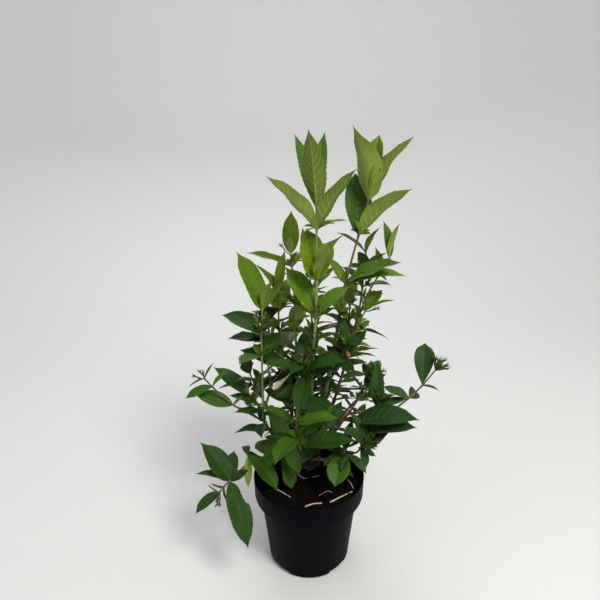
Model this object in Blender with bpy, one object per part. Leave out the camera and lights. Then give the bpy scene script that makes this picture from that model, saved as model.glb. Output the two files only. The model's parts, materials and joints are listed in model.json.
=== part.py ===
"""A weigela in its black nursery pot: pot, soil, root crown, stems and sprays of paired leaves.

Metres, +Z up.  The origin is the centre of the pot's flat underside, +X is the shrub's right and
-Y its front.  The stems and sprays are laid out in millimetres (see mm) and grown by one rule:
leaves stand in opposite pairs, each pair turned a quarter from the one below.
"""
import math
import random
from dataclasses import dataclass, field

import bmesh
import bpy
from mathutils import Matrix, Vector
from mathutils.bvhtree import BVHTree

MM = 0.001
GAP = 0.0003            # clearance kept between neighbouring solids
UP = Vector((0.0, 0.0, 1.0))

# Pot: a 2.5 litre nursery container with a deep collar that stands out from its wall.
POT_HEIGHT = 0.1606
RIM_RADIUS = 0.0926
RIM_ROUND = 0.0004
COLLAR_HEIGHT = 0.035
COLLAR_DRAFT = 0.0008          # how much narrower the collar is at its foot than at the rim
COLLAR_STEP = 0.0095
BASE_RADIUS = 0.069
WALL = 0.0015
FLOOR_HEIGHT = 0.0021
BASE_CHAMFER = 0.004
POT_SIDES = 40
DRAIN_COUNT = 4
DRAIN_WIDTH = 0.060
DRAIN_HEIGHT = 0.0075
DRAIN_DEPTH = 0.010
DRAIN_SIDES = 24

# Soil and root crown.
SOIL_TOP = 0.146
SOIL_ROUGHNESS = 0.0022
SOIL_RINGS = 5
SOIL_SIDES = 32
SOIL_SIDE_GAP = 0.0005
SOIL_EDGE_DROP = 0.006
SOIL_FOOT_RISE = 0.010
LUMP_PITCH = 0.035             # how far apart the soil's lumps are
LUMP_BORDER = 1.3              # the level border round the root crown, in root crown radii
CROWN_CENTRE = Vector((0.0, 0.042, SOIL_TOP + GAP))
CROWN_RADIUS = 0.019
CROWN_NECK = 0.013
CROWN_HEIGHT = 0.012
CROWN_SIDES = 12
CROWN_LOBE = 0.12
STUB_LENGTH = 0.017
STUB_SWELL = 1.15
STUB_ROOT_HEIGHT = 0.55        # share of the root crown's height where the stems' stubs begin
STUB_RING_REACH = 0.03
STUB_RING_INNER = 0.35         # share of the root crown's neck for the stems that rise in the middle
STUB_CLEAR = 0.004             # a limb's next bend is at least this far past its stub
STUB_DIP = 0.02
LOBE_COUNT = 5

# Leaves: shares of a leaf's length, and the shape of its blade.
LEAF_THICKNESS = 0.013
LEAF_LEAST_THICKNESS = 0.0008
LEAF_DROOP = (14, 34)          # degrees that a leaf bends over its length
LEAF_FOLD = (12, 26)           # degrees that each half of a blade stands up
LEAD_STATIONS = ((0.22, 0.42), (0.5, 1.0), (0.8, 0.56))      # share of length, share of half width
LEAF_STATIONS = ((0.3, 0.86), (0.68, 0.84))
CLEAR_MARGIN = 0.0007
CROWN_LOW, CROWN_HIGH = 0.030, 0.725
STEM_SIDES = 3
LIMB_SIDES = 6
SPRAY_FOOT_RADIUS = 0.0020
SPRAY_TIP_RADIUS = 0.0012
SPRAY_LEAD_IN = 0.004
LAST_NODE = 0.985
TWIG_LENGTH = (30, 46)
TWIG_LEAF = (30, 44)
TWIG_NODES = (0.55, 0.97)      # shares of a twig's length
CALYX_LENGTH = (16, 29)
CALYX_SPREAD = (0.35, 1.0)     # how far a calyx leans out, over its height
CALYX_RADIUS = 0.0010
CALYX_NODE = 0.97
TURN_TRIES = (0, 12, -12, 24, -24, 36, -36, 50, -50)
SEED = 11


def mm(x, y, z):
    """A place given in millimetres."""
    return Vector((x, y, z)) * MM


# ---------------------------------------------------------------- the layout of the shrub

@dataclass(frozen=True)
class Limb:
    """A woody stem: where it stands (None for the root crown) and the points it passes."""
    name: str
    way: tuple
    thick: tuple = (3.0, 2.2)
    on: str = None
    at: float = 1.0


@dataclass(frozen=True)
class Lead:
    """One leaf set by hand because it shapes the crown's outline: heading and rise are its chord's."""
    length: float
    turn: float
    rise: float
    roll: float = 0.0
    slim: float = 0.38
    stations: tuple = LEAD_STATIONS


@dataclass(frozen=True)
class Spray:
    """A leafy shoot: the limb that carries it, its way, and the rule its leaf pairs follow.

    nodes are shares of the shoot's length and turn is the heading of the first pair.  leaf, rise
    and slim are the leaves' length, lift and width over length at the foot and at the tip.
    lead holds the leaves set by hand, by (node, side); a side over 1 is an extra leaf.
    """
    name: str
    limb: str
    way: tuple
    nodes: tuple = (0.35, 0.7, 1.0)
    turn: float = 0.0
    leaf: tuple = (70, 60)
    rise: tuple = (20, 45)
    slim: tuple = (0.46, 0.42)
    at: float = 1.0
    twigs: int = 1
    calyx: int = 0
    lead: dict = field(default_factory=dict)


LIMBS = (
    Limb("stem_left", ((-41, 44, 186), (-56, 42, 201), (-74, 30, 238), (-75, 21, 270)), (3.4, 2.2)),
    Limb("stem_right", ((13, 36, 200), (23, 30, 264), (34, 21, 330), (37, 20, 360)), (3.8, 2.8)),
    Limb("stem_centre", ((3, 27, 200), (5, 14, 262), (6, -8, 364), (9, -17, 420)), (3.2, 2.5)),
    Limb("stem_inner", ((-9, 33, 200), (-13, 26, 250), (-18, 40, 338)), (2.8, 2.4)),
    Limb("stem_right_back", ((27, 50, 205), (50, 58, 280), (74, 67, 372), (82, 70, 404)), (2.6, 1.8)),
    Limb("stem_back", ((2, 66, 200), (4, 92, 262), (10, 116, 350)), (2.9, 2.0)),
    Limb("stem_back_left", ((-20, 62, 196), (-34, 86, 250), (-46, 106, 330)), (2.9, 2.0)),
    Limb("stem_back_right", ((24, 66, 192), (46, 84, 245), (70, 98, 320)), (2.8, 2.0)),
    Limb("branch_right", ((24, 28, 192), (46, 14, 236), (63, 8, 266), (106, 2, 276), (140, 0, 284)),
         (2.6, 1.8)),
    Limb("branch_right_upper", ((26, 38, 196), (44, 31, 230), (68, 23, 270), (88, 14, 299)), (2.4, 1.8)),
    Limb("branch_right_low", ((24, 22, 170), (46, 2, 186), (76, -24, 216)), (2.2, 1.7)),
    Limb("branch_over_soil", ((9, 10, 178), (30, -8, 190), (50, -24, 203)), (2.2, 1.7)),
    Limb("branch_front", ((-7, 12, 180), (-11, -14, 208), (-14, -40, 236)), (2.4, 1.8)),
    Limb("branch_left_low", ((-30, 30, 166), (-62, 20, 176), (-100, 2, 177), (-121, -24, 172)), (2.4, 1.7)),
    Limb("branch_back_low_left", ((-28, 68, 172), (-52, 90, 196), (-82, 112, 234)), (2.4, 1.8)),
    Limb("branch_back_low", ((-2, 72, 172), (0, 100, 190), (6, 134, 226)), (2.4, 1.8)),
    Limb("branch_back_low_right", ((30, 62, 172), (56, 84, 192), (88, 108, 226)), (2.4, 1.8)),
    Limb("branch_far_left", ((-96, 20, 262), (-118, 11, 281)), (1.9, 1.6), "stem_left", 0.74),
)

SPRAYS = (
    Spray("leaves_centre_top", "stem_centre", ((11, -20, 455), (12, -23, 520), (11, -25, 612)),
          nodes=(0.18, 0.44, 0.83, 1.0), leaf=(78, 106), rise=(40, 66), slim=(0.4, 0.3), twigs=0,
          lead={(0, 0): Lead(84, 163, 50, -35, 0.44), (0, 1): Lead(66, 12, 32, 25, 0.4),
                (1, 0): Lead(78, 140, 72, -25, 0.42), (1, 1): Lead(86, -30, 60, 0, 0.40),
                (1, 2): Lead(70, 66, 44, 0, 0.44), (2, 2): Lead(60, 38, 6, 0, 0.26),
                (2, 0): Lead(107, -162, 45, 30, 0.36),
                (2, 1): Lead(106, -22, 53, -30, 0.32), (3, 0): Lead(113, -106, 67, 0, 0.32),
                (3, 1): Lead(112, 122, 60, 0, 0.3), (3, 2): Lead(116, 76, 60, 0, 0.22)}),
    Spray("leaves_right_top", "stem_right", ((47, 20, 420), (57, 20, 486), (74, 15, 562), (88, 15, 617)),
          nodes=(0.30, 0.49, 0.79, 1.0), turn=90, leaf=(60, 108), rise=(25, 66), twigs=0,
          lead={(1, 0): Lead(92, -17, 24, 20, 0.4), (1, 1): Lead(50, 140, 46, -20, 0.34),
                (1, 2): Lead(94, -6, 7, 15, 0.34), (2, 0): Lead(96, 94, 63, 0, 0.42),
                (2, 1): Lead(104, -12, 40, -42, 0.38), (3, 0): Lead(113, -134, 68, 0, 0.42),
                (3, 1): Lead(114, -18, 54, -40, 0.4), (3, 2): Lead(96, 60, 70, 0, 0.34)}),
    Spray("leaves_centre_left", "stem_inner", ((-20, 44, 400), (-20, 45, 443), (-26, 50, 530)),
          nodes=(0.14, 0.34, 0.55, 0.88, 1.0), turn=160, leaf=(72, 62), rise=(10, 60), calyx=5,
          lead={(3, 0): Lead(76, -172, 18, -20, 0.26), (3, 1): Lead(46, 20, 40, 0, 0.5),
                (4, 0): Lead(68, 85, 78, 0, 0.48), (4, 1): Lead(38, -95, 60, 0, 0.3)}),
    Spray("leaves_left_top", "stem_left", ((-74, 15, 330), (-73, 10, 400), (-70, 10, 452)),
          nodes=(0.56, 0.78, 1.0), turn=60, leaf=(60, 85), rise=(15, 52), calyx=4, twigs=0,
          lead={(2, 0): Lead(98, 168, 64, -30, 0.42), (2, 1): Lead(54, -40, 68, 0, 0.42),
                (2, 2): Lead(60, 50, 32, 20, 0.26), (1, 0): Lead(66, 175, 22, -25, 0.38)}),
    Spray("leaves_left_dark", "stem_left", ((-64, 33, 305), (-68, 45, 370), (-70, 52, 415)),
          nodes=(0.28, 0.52, 0.78, 1.0), turn=-150, leaf=(64, 70), rise=(15, 35), at=0.93,
          lead={(1, 0): Lead(54, -172, 28, -20, 0.46), (2, 0): Lead(64, -166, 8, -10, 0.42),
                (3, 0): Lead(74, 178, 8, -20, 0.34)}),
    Spray("leaves_left_mid", "stem_left", ((-84, 27, 276), (-98, 26, 296)),
          nodes=(0.55, 1.0), turn=-100, leaf=(50, 56), rise=(5, 10), at=0.86, twigs=0,
          lead={(0, 0): Lead(46, -178, 14, -20, 0.36), (1, 0): Lead(76, 172, 33, -30, 0.44)}),
    Spray("leaves_left_hanging", "stem_left", ((-54, 28, 212), (-52, 14, 214)),
          nodes=(0.6, 1.0), turn=-60, leaf=(56, 60), rise=(-40, -30), at=0.42, twigs=0,
          lead={(0, 0): Lead(56, -112, -42, 0, 0.5), (1, 0): Lead(82, -63, -50, 0, 0.3)}),
    Spray("leaves_far_left", "branch_far_left", ((-136, 6, 302), (-152, 4, 320), (-165, 0, 340)),
          nodes=(0.08, 0.72, 1.0), turn=-150, leaf=(30, 28), rise=(10, 15), slim=(0.3, 0.22), twigs=0,
          calyx=7,
          lead={(0, 0): Lead(66, -176, 15, -35, 0.42), (0, 1): Lead(26, 60, 20, 0, 0.3),
                (1, 0): Lead(48, -168, -22, -20, 0.42), (1, 1): Lead(40, 30, 36, 0, 0.3),
                (2, 0): Lead(30, -175, -28, 0, 0.2), (2, 1): Lead(28, 40, 50, 0, 0.2)}),
    Spray("leaves_left_low", "branch_left_low", ((-134, -38, 168), (-144, -48, 160)),
          nodes=(0.35, 0.7, 1.0), turn=150, leaf=(36, 28), rise=(35, 0), slim=(0.3, 0.26), twigs=0, calyx=4,
          lead={(0, 0): Lead(82, 152, 42, -10, 0.5), (0, 1): Lead(36, 14, 22, 30, 0.46),
                (0, 2): Lead(52, 85, 34, 0, 0.48), (0, 3): Lead(58, -176, 18, 0, 0.3),
                (0, 4): Lead(106, -63, -45, 0, 0.34), (2, 0): Lead(50, -145, -26, 0, 0.46)}),
    Spray("leaves_rim_left", "branch_left_low", ((-101, 4, 190), (-103, -2, 198)),
          nodes=(0.7, 1.0), turn=-40, leaf=(66, 50), rise=(-10, 10), at=0.74, twigs=0,
          lead={(0, 0): Lead(76, -44, -38, 0, 0.48), (0, 1): Lead(54, -100, -60, 0, 0.26),
                (1, 0): Lead(34, 100, -10, 0, 0.44), (1, 1): Lead(46, 10, -40, 0, 0.42)}),
    Spray("leaves_inner_left", "stem_inner", ((-28, 36, 345), (-34, 22, 352)),
          nodes=(0.5, 1.0), turn=-160, leaf=(72, 74), rise=(-5, 10), at=0.90, twigs=0),
    Spray("leaves_inner_low", "stem_centre", ((-6, 6, 290), (-12, -2, 300)),
          nodes=(0.6, 1.0), turn=-120, leaf=(74, 72), rise=(-15, 15), at=0.40, twigs=0),
    Spray("leaves_inner_foot", "stem_centre", ((13, 10, 232), (20, -2, 242)),
          nodes=(0.5, 1.0), turn=-40, leaf=(68, 72), rise=(-5, 0), at=0.12, twigs=0),
    Spray("leaves_inner_middle", "stem_centre", ((-4, -14, 345), (-8, -22, 372)),
          nodes=(0.4, 0.7, 1.0), turn=-110, leaf=(76, 70), rise=(5, 30), at=0.66, twigs=0),
    Spray("leaves_inner_back", "stem_right", ((14, 34, 330), (6, 38, 352)),
          nodes=(0.4, 0.7, 1.0), turn=60, leaf=(76, 70), rise=(5, 30), at=0.60, twigs=0),
    Spray("leaves_inner_right", "stem_right", ((48, 10, 350), (58, 0, 392)),
          nodes=(0.4, 0.75, 1.0), turn=-60, leaf=(68, 64), rise=(20, 45), at=0.88,
          lead={(0, 0): Lead(44, -6, 4, 20, 0.34), (0, 1): Lead(54, 62, 38, 0, 0.42)}),
    Spray("leaves_right_middle", "stem_right", ((56, 30, 372), (74, 32, 405), (91, 30, 441)),
          nodes=(0.35, 0.68, 1.0), turn=20, leaf=(46, 44), rise=(20, 45), at=0.97,
          lead={(2, 0): Lead(46, 30, 38, 25, 0.42), (2, 1): Lead(50, -155, 25, 0, 0.3),
                (2, 2): Lead(50, -4, 22, 0, 0.26)}),
    Spray("leaves_right_back_top", "stem_right_back", ((96, 73, 445), (108, 75, 470), (133, 75, 513)),
          nodes=(0.35, 0.7, 1.0), turn=30, leaf=(44, 60), rise=(20, 62), twigs=0,
          lead={(2, 0): Lead(64, 120, 72, 0, 0.28), (2, 1): Lead(76, 35, 74, -40, 0.22)}),
    Spray("leaves_right_behind", "stem_right_back", ((86, 62, 440), (89, 58, 485), (92, 58, 528)),
          nodes=(0.55, 0.78, 1.0), turn=-40, leaf=(54, 48), rise=(25, 60), at=0.9, twigs=0,
          lead={(2, 0): Lead(58, 172, 34, 0, 0.38), (1, 0): Lead(48, -20, 40, -20, 0.44)}),
    Spray("leaves_right_end", "branch_right", ((163, 0, 303), (180, 0, 322), (201, 0, 352)),
          nodes=(0.3, 0.62), turn=60, leaf=(48, 30), rise=(15, 30), twigs=0, calyx=10,
          lead={(1, 0): Lead(70, 76, 54, 0, 0.54), (0, 1): Lead(46, 160, 14, -20, 0.4)}),
    Spray("leaves_right_upper", "branch_right_upper", ((98, 17, 312), (104, 19, 330)),
          nodes=(0.3, 0.7, 1.0), turn=-70, leaf=(40, 30), rise=(30, 50), twigs=0, calyx=4,
          lead={(0, 0): Lead(66, -176, -3, 20, 0.34), (0, 1): Lead(36, 40, 40, 0, 0.36)}),
    Spray("leaves_right_upright", "branch_right", ((112, 3, 284), (115, 2, 293)),
          nodes=(0.4, 1.0), turn=80, leaf=(34, 30), rise=(20, 40), at=0.74, twigs=0, calyx=5,
          lead={(0, 0): Lead(80, 85, 72, 0, 0.32), (0, 1): Lead(54, 6, 10, 20, 0.3)}),
    Spray("leaves_right_arching", "branch_right", ((80, -12, 262), (92, -24, 256)),
          nodes=(0.35, 1.0), turn=-20, leaf=(60, 50), rise=(5, 0), at=0.52, twigs=0,
          lead={(0, 0): Lead(114, -28, 15, 14, 0.42), (0, 1): Lead(58, -110, -32, 0, 0.26),
                (1, 0): Lead(80, -12, 9, 14, 0.46)}),
    Spray("leaves_right_low", "branch_right_low", ((84, -28, 228), (90, -40, 242)),
          nodes=(0.4, 1.0), turn=-90, leaf=(44, 60), rise=(-30, 20), twigs=0, calyx=6,
          lead={(0, 0): Lead(32, -60, -60, 0, 0.5), (0, 1): Lead(72, 8, 38, 30, 0.58),
                (1, 0): Lead(62, 122, 50, 0, 0.26)}),
    Spray("leaves_over_rim", "branch_over_soil", ((57, -29, 214), (64, -35, 219)),
          nodes=(0.4, 1.0), turn=100, leaf=(60, 46), rise=(20, -10), slim=(0.62, 0.5), twigs=0,
          lead={(0, 0): Lead(52, -110, -26, 0, 0.76), (0, 1): Lead(36, -165, -18, 0, 0.6),
                (1, 0): Lead(42, -34, -24, 0, 0.44), (1, 1): Lead(34, -150, -34, 0, 0.4)}),
    Spray("leaves_front_low", "branch_front", ((-19, -8, 232), (-30, -22, 240)),
          nodes=(0.5, 1.0), turn=-170, leaf=(70, 66), rise=(0, -10), at=0.62, twigs=0),
    Spray("leaves_front", "branch_front", ((-17, -52, 258), (-19, -62, 290), (-18, -66, 322)),
          nodes=(0.1, 0.4, 0.7, 1.0), turn=-20, leaf=(80, 62), rise=(-5, 40), twigs=0,
          lead={(0, 0): Lead(92, -8, 8, 12, 0.4), (0, 1): Lead(50, 172, 16, 0, 0.5)}),
    Spray("leaves_back", "stem_back", ((8, 124, 400), (6, 128, 470)),
          nodes=(0.1, 0.4, 0.7, 1.0), turn=20, leaf=(78, 86), rise=(15, 60), slim=(0.46, 0.34), twigs=1),
    Spray("leaves_back_left", "stem_back_left", ((-50, 116, 380), (-50, 120, 436)),
          nodes=(0.1, 0.4, 0.72, 1.0), turn=70, leaf=(72, 76), rise=(15, 55), twigs=1,
          lead={(3, 0): Lead(84, 60, 72, 0, 0.24)}),
    Spray("leaves_back_right", "stem_back_right", ((74, 108, 370), (74, 112, 420)),
          nodes=(0.1, 0.42, 0.72, 1.0), turn=-30, leaf=(70, 66), rise=(15, 55), twigs=1),
    Spray("leaves_back_low_left", "branch_back_low_left", ((-96, 118, 258), (-106, 124, 284)),
          nodes=(0.15, 0.55, 1.0), turn=100, leaf=(70, 58), rise=(5, 35), calyx=5),
    Spray("leaves_back_low", "branch_back_low", ((8, 148, 248), (8, 160, 282)),
          nodes=(0.15, 0.55, 1.0), turn=10, leaf=(76, 64), rise=(0, 35), calyx=4),
    Spray("leaves_back_low_right", "branch_back_low_right", ((100, 116, 246), (110, 122, 272)),
          nodes=(0.15, 0.55, 1.0), turn=60, leaf=(70, 58), rise=(5, 35), calyx=4),
)


# ---------------------------------------------------------------- paths and closed shapes

def smooth_way(guides, steps=3):
    """Points on a Catmull-Rom curve through the guide points."""
    ends = [guides[0] * 2 - guides[1]] + list(guides) + [guides[-1] * 2 - guides[-2]]
    points = []
    for a, b, c, d in zip(ends, ends[1:], ends[2:], ends[3:]):
        for i in range(steps):
            t = i / steps
            points.append(0.5 * (2 * b + (c - a) * t + (2 * a - 5 * b + 4 * c - d) * t ** 2
                                 + (3 * b - a - 3 * c + d) * t ** 3))
    return points + [guides[-1].copy()]


def along(path, share):
    """The point and direction at a share of a path's length."""
    spans = [(b - a).length for a, b in zip(path, path[1:])]
    left = share * sum(spans)
    for a, b, span in zip(path, path[1:], spans):
        if left <= span:
            return a + (b - a) * (left / span), (b - a).normalized()
        left -= span
    return path[-1].copy(), (path[-1] - path[-2]).normalized()


def tube(path, foot_radius, tip_radius, sides):
    """A tapering closed tube along a path, as points and faces."""
    headings = [(b - a).normalized() for a, b in zip(path, path[1:])]
    headings = [headings[0]] + [(a + b).normalized() for a, b in zip(headings, headings[1:])] + [headings[-1]]
    across = headings[0].orthogonal().normalized()
    points, faces = [], []
    for i, (centre, heading) in enumerate(zip(path, headings)):
        across = (across - heading * across.dot(heading)).normalized()
        radius = foot_radius + (tip_radius - foot_radius) * i / (len(path) - 1)
        points += [centre + Matrix.Rotation(math.tau * k / sides, 3, heading) @ across * radius
                   for k in range(sides)]
    for i in range(len(path) - 1):
        for k in range(sides):
            a, b = i * sides + k, i * sides + (k + 1) % sides
            faces.append((a, b, b + sides, a + sides))
    faces += [tuple(reversed(range(sides))), tuple(range(len(points) - sides, len(points)))]
    return points, faces


def spike(foot, tip, radius):
    """A slender three-sided point, as a calyx lobe or a bud."""
    axis = (tip - foot).normalized()
    across = axis.orthogonal().normalized() * radius
    ring = [foot + Matrix.Rotation(math.tau * k / 3, 3, axis) @ across for k in range(3)]
    return ring + [tip], [(2, 1, 0), (0, 1, 3), (1, 2, 3), (2, 0, 3)]


def triangles(shape):
    """A shape's faces split into triangles, for clearance tests."""
    points, faces = shape
    return points, [(f[0], f[i], f[i + 1]) for f in faces for i in range(1, len(f) - 1)]


def tree_of(shape):
    points, faces = triangles(shape)
    return BVHTree.FromPolygons(points, faces)


# ---------------------------------------------------------------- leaves

@dataclass
class Leaf:
    """One leaf: where it leaves the stem, its first heading, its upper side and its sizes."""
    foot: Vector
    heading: Vector
    upper: Vector
    length: float
    width: float
    droop: float
    fold: float
    stations: tuple

    def rib(self, share):
        """The midrib's point, heading and upper side at a share of the length."""
        steps = 8
        point, step = self.foot.copy(), self.length * share / steps
        across = self.heading.cross(self.upper)
        for i in range(steps):
            bend = Matrix.Rotation(-self.droop * share * (i + 0.5) / steps, 3, across)
            point += bend @ self.heading * step
        bend = Matrix.Rotation(-self.droop * share, 3, across)
        return point, bend @ self.heading, bend @ self.upper

    def shape(self, margin=0.0, blade_only=False):
        """The leaf as a thin closed body folded along its rib, optionally swollen by a margin."""
        thick = max(self.length * LEAF_THICKNESS, LEAF_LEAST_THICKNESS) / 2 + margin
        points, faces = [], []
        for share, wide in self.stations:
            middle, heading, upper = self.rib(share)
            across = heading.cross(upper)
            half = self.width / 2 * wide + margin
            edge_lift = upper * (half * math.sin(self.fold))
            edge_out = across * (half * math.cos(self.fold))
            points += [middle + edge_lift - edge_out, middle + upper * thick,
                       middle + edge_lift + edge_out, middle - upper * thick]
        for i in range(len(self.stations) - 1):
            for k in range(4):
                a, b = 4 * i + k, 4 * i + (k + 1) % 4
                faces += [(a, b, b + 4), (a, b + 4, a + 4)]
        if blade_only:
            faces += [(0, 3, 2, 1)]
        else:
            points.append(self.foot.copy())
            faces += [(len(points) - 1, (k + 1) % 4, k) for k in range(4)]
        last = 4 * (len(self.stations) - 1)
        points.append(self.rib(1.0)[0])
        faces += [(len(points) - 1, last + k, last + (k + 1) % 4) for k in range(4)]
        return points, faces


def leaf_at(foot, lean, plan, turn, length, droop, fold):
    """A leaf from its chord's heading and rise; lean turns the vertical to the stem's own way."""
    turn, rise, roll, droop, fold = map(math.radians, (turn, plan.rise, plan.roll, droop, fold))
    lift = rise + droop / 2
    out = Vector((math.cos(turn), math.sin(turn), 0.0))
    heading = lean @ (out * math.cos(lift) + UP * math.sin(lift))
    upper = lean @ (UP * math.cos(lift) - out * math.sin(lift))
    upper.rotate(Matrix.Rotation(roll, 3, heading))
    return Leaf(foot, heading, upper, length * MM, length * MM * plan.slim, droop, fold, plan.stations)


# ---------------------------------------------------------------- growth

class Shrub:
    """Everything grown so far, with a clearance tree for each piece."""

    def __init__(self, fixed):
        self.trees = [("", tree_of(shape)) for shape in fixed]
        self.paths = {}
        self.radii = {}

    def keep(self, owner, shape):
        self.trees.append((owner, tree_of(shape)))

    def clear_of(self, shape, skip=()):
        tree = tree_of(shape)
        return not any(owner not in skip and tree.overlap(other) for owner, other in self.trees)


def crown_foot(way):
    """Where a limb's stub leaves the root crown: on a ring, towards the way it goes."""
    towards = mm(*way[0]) - CROWN_CENTRE
    flat = Vector((towards.x, towards.y, 0.0))
    share = min(flat.length / STUB_RING_REACH, 1.0)
    ring_radius = CROWN_NECK * (STUB_RING_INNER + (1 - STUB_RING_INNER) * share)
    return CROWN_CENTRE + flat.normalized() * ring_radius + UP * CROWN_HEIGHT * STUB_ROOT_HEIGHT


def limb_path(limb, shrub):
    """The limb's whole way, from inside the root crown or from beside the limb that it forks off."""
    if limb.on is None:
        foot = crown_foot(limb.way)
    else:
        foot = beside(shrub, limb.on, limb.at, mm(*limb.way[0]), limb.thick[0] * MM)
    return smooth_way([foot] + [mm(*place) for place in limb.way])


def beside(shrub, limb_name, share, goal, radius):
    """The foot of a side shoot: off the limb's surface towards its goal, just clear of it."""
    centre, axis = along(shrub.paths[limb_name], share)
    heading = (goal - centre).normalized()
    off_axis = math.sqrt(max(1.0 - heading.dot(axis) ** 2, 0.05))
    limb_radius = shrub.radii[limb_name](share)
    return centre + heading * ((limb_radius + GAP + radius * abs(heading.dot(axis))) / off_axis)


def grow_limbs(shrub):
    """Each limb's shape above its stub, and the stubs that stay with the root crown."""
    stubs, limbs = [], {}
    for limb in LIMBS:
        path = limb_path(limb, shrub)
        foot, tip = (value * MM for value in limb.thick)
        shrub.radii[limb.name] = lambda share, foot=foot, tip=tip: foot + (tip - foot) * share
        if limb.on is None:
            path, stub = split_stub(path)
            stubs.append(tube(stub, foot * STUB_SWELL, foot, LIMB_SIDES))
        shrub.paths[limb.name] = path
        limbs[limb.name] = tube(path, foot, tip, LIMB_SIDES)
        shrub.keep(limb.name, limbs[limb.name])
    return stubs, limbs


def split_stub(path):
    """A limb's path cut in two, with a clear gap where it leaves the root crown's stub."""
    total = sum((b - a).length for a, b in zip(path, path[1:]))
    cut, heading = along(path, STUB_LENGTH / total)
    rest = [p for p in path if (p - cut).dot(heading) > STUB_CLEAR and p.z > cut.z - STUB_DIP]
    return [cut + heading * GAP] + rest, [path[0], cut]


def spray_stem(spray, shrub):
    """A spray's own stem: straight on from its limb's tip, or off the limb's side."""
    guides = [mm(*place) for place in spray.way]
    if spray.at == 1.0:
        tip, heading = along(shrub.paths[spray.limb], 1.0)
        foot = [tip + heading * GAP, tip + heading * SPRAY_LEAD_IN]
    else:
        foot = [beside(shrub, spray.limb, spray.at, guides[0], SPRAY_FOOT_RADIUS)]
    shrub.paths[spray.name] = foot[:-1] + smooth_way(foot[-1:] + guides, steps=2)
    stem = tube(shrub.paths[spray.name], SPRAY_FOOT_RADIUS, SPRAY_TIP_RADIUS, STEM_SIDES)
    shrub.keep(spray.name, stem)
    return stem


def place_leads(spray, shrub):
    """The spray's leaves set by hand, placed before the rest so that they keep their places."""
    shapes = []
    for (node, _), lead in spray.lead.items():
        point, _ = along(shrub.paths[spray.name], min(spray.nodes[node], LAST_NODE))
        shapes += place_leaf(spray.name, shrub, point, UP, lead)
    return shapes


def grow_spray(spray, shrub, dice):
    """The rest of a spray's leaves, its twigs and its calyces; what would touch is left out."""
    path = shrub.paths[spray.name]
    shapes = []
    for k, share in enumerate(spray.nodes):
        point, heading = along(path, min(share, LAST_NODE))
        turn = spray.turn + 90 * k + dice.uniform(-10, 10)
        for side in (0, 1):
            plan = leaf_plan(spray, k / (len(spray.nodes) - 1), turn + 180 * side, dice)
            if (k, side) not in spray.lead:
                shapes += place_leaf(spray.name, shrub, point, heading, plan)
        if k < spray.twigs:
            shapes += grow_twig(spray, shrub, dice, point, heading, turn + 45 + 90 * dice.randrange(4))
    return shapes + grow_calyces(spray, shrub, dice, path)


def leaf_plan(spray, grown, turn, dice):
    """A rule-made leaf's sizes: between the spray's values at its foot and tip, a little uneven."""
    def between(pair):
        return pair[0] + (pair[1] - pair[0]) * grown
    return Lead(between(spray.leaf) * dice.uniform(0.86, 1.08), turn + dice.uniform(-8, 8),
                between(spray.rise) + dice.uniform(-7, 7), dice.uniform(-16, 16),
                between(spray.slim) * dice.uniform(0.92, 1.08), LEAF_STATIONS)


def place_leaf(owner, shrub, point, heading, plan):
    """The first of a few slightly turned and shortened leaves that stays clear, or none."""
    lean = UP.rotation_difference(heading).to_matrix()
    uneven = random.Random(round(plan.length * 7 + plan.turn * 3 + plan.rise))
    droop, fold = uneven.uniform(*LEAF_DROOP), uneven.uniform(*LEAF_FOLD)
    for tries, extra in enumerate(TURN_TRIES):
        length = plan.length * (1 - 0.02 * tries)
        leaf = leaf_at(point, lean, plan, plan.turn + extra, length, droop, fold)
        if not CROWN_LOW < leaf.rib(1.0)[0].z < CROWN_HIGH:
            continue
        if not shrub.clear_of(leaf.shape(CLEAR_MARGIN, blade_only=True)):
            continue
        if shrub.clear_of(leaf.shape(CLEAR_MARGIN), skip=(owner,)):
            shrub.keep(owner, leaf.shape())
            return [leaf.shape()]
    return []


def grow_twig(spray, shrub, dice, point, heading, turn):
    """A short side twig with two small leaf pairs."""
    lean = UP.rotation_difference(heading).to_matrix()
    length = dice.uniform(*TWIG_LENGTH) * MM
    turn = math.radians(turn)
    out = lean @ Vector((math.cos(turn), math.sin(turn), 0.9)).normalized()
    path = [point, point + out * length * 0.5, point + (out + UP * 0.12).normalized() * length]
    stem = tube(path, SPRAY_TIP_RADIUS, SPRAY_TIP_RADIUS * 0.8, STEM_SIDES)
    swollen = tube(path[1:], SPRAY_TIP_RADIUS + CLEAR_MARGIN, SPRAY_TIP_RADIUS + CLEAR_MARGIN, STEM_SIDES)
    if not shrub.clear_of(swollen):
        return []
    shapes = [stem]
    shrub.keep(spray.name, stem)
    for k, share in enumerate(TWIG_NODES):
        foot, way = along(path, share)
        for side in (0, 1):
            plan = Lead(dice.uniform(*TWIG_LEAF), 40 + 90 * k + 180 * side, 30, 0, 0.42, LEAF_STATIONS)
            shapes += place_leaf(spray.name, shrub, foot, way, plan)
    return shapes


def grow_calyces(spray, shrub, dice, path):
    """The slim calyx lobes left at the shoot's tip after flowering."""
    foot, heading = along(path, CALYX_NODE)
    lean = UP.rotation_difference(heading).to_matrix()
    shapes = []
    for k in range(spray.calyx):
        turn = math.tau * k / spray.calyx + dice.uniform(-0.3, 0.3)
        spread = dice.uniform(*CALYX_SPREAD)
        out = lean @ Vector((math.cos(turn) * spread, math.sin(turn) * spread, 1.0)).normalized()
        tip = foot + out * dice.uniform(*CALYX_LENGTH) * MM
        body = spike(foot, tip, CALYX_RADIUS)
        swollen = spike(foot + out * 3 * CALYX_RADIUS, tip + out * CLEAR_MARGIN, CALYX_RADIUS + CLEAR_MARGIN)
        if shrub.clear_of(swollen):
            shrub.keep(spray.name, body)
            shapes.append(body)
    return shapes


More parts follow.
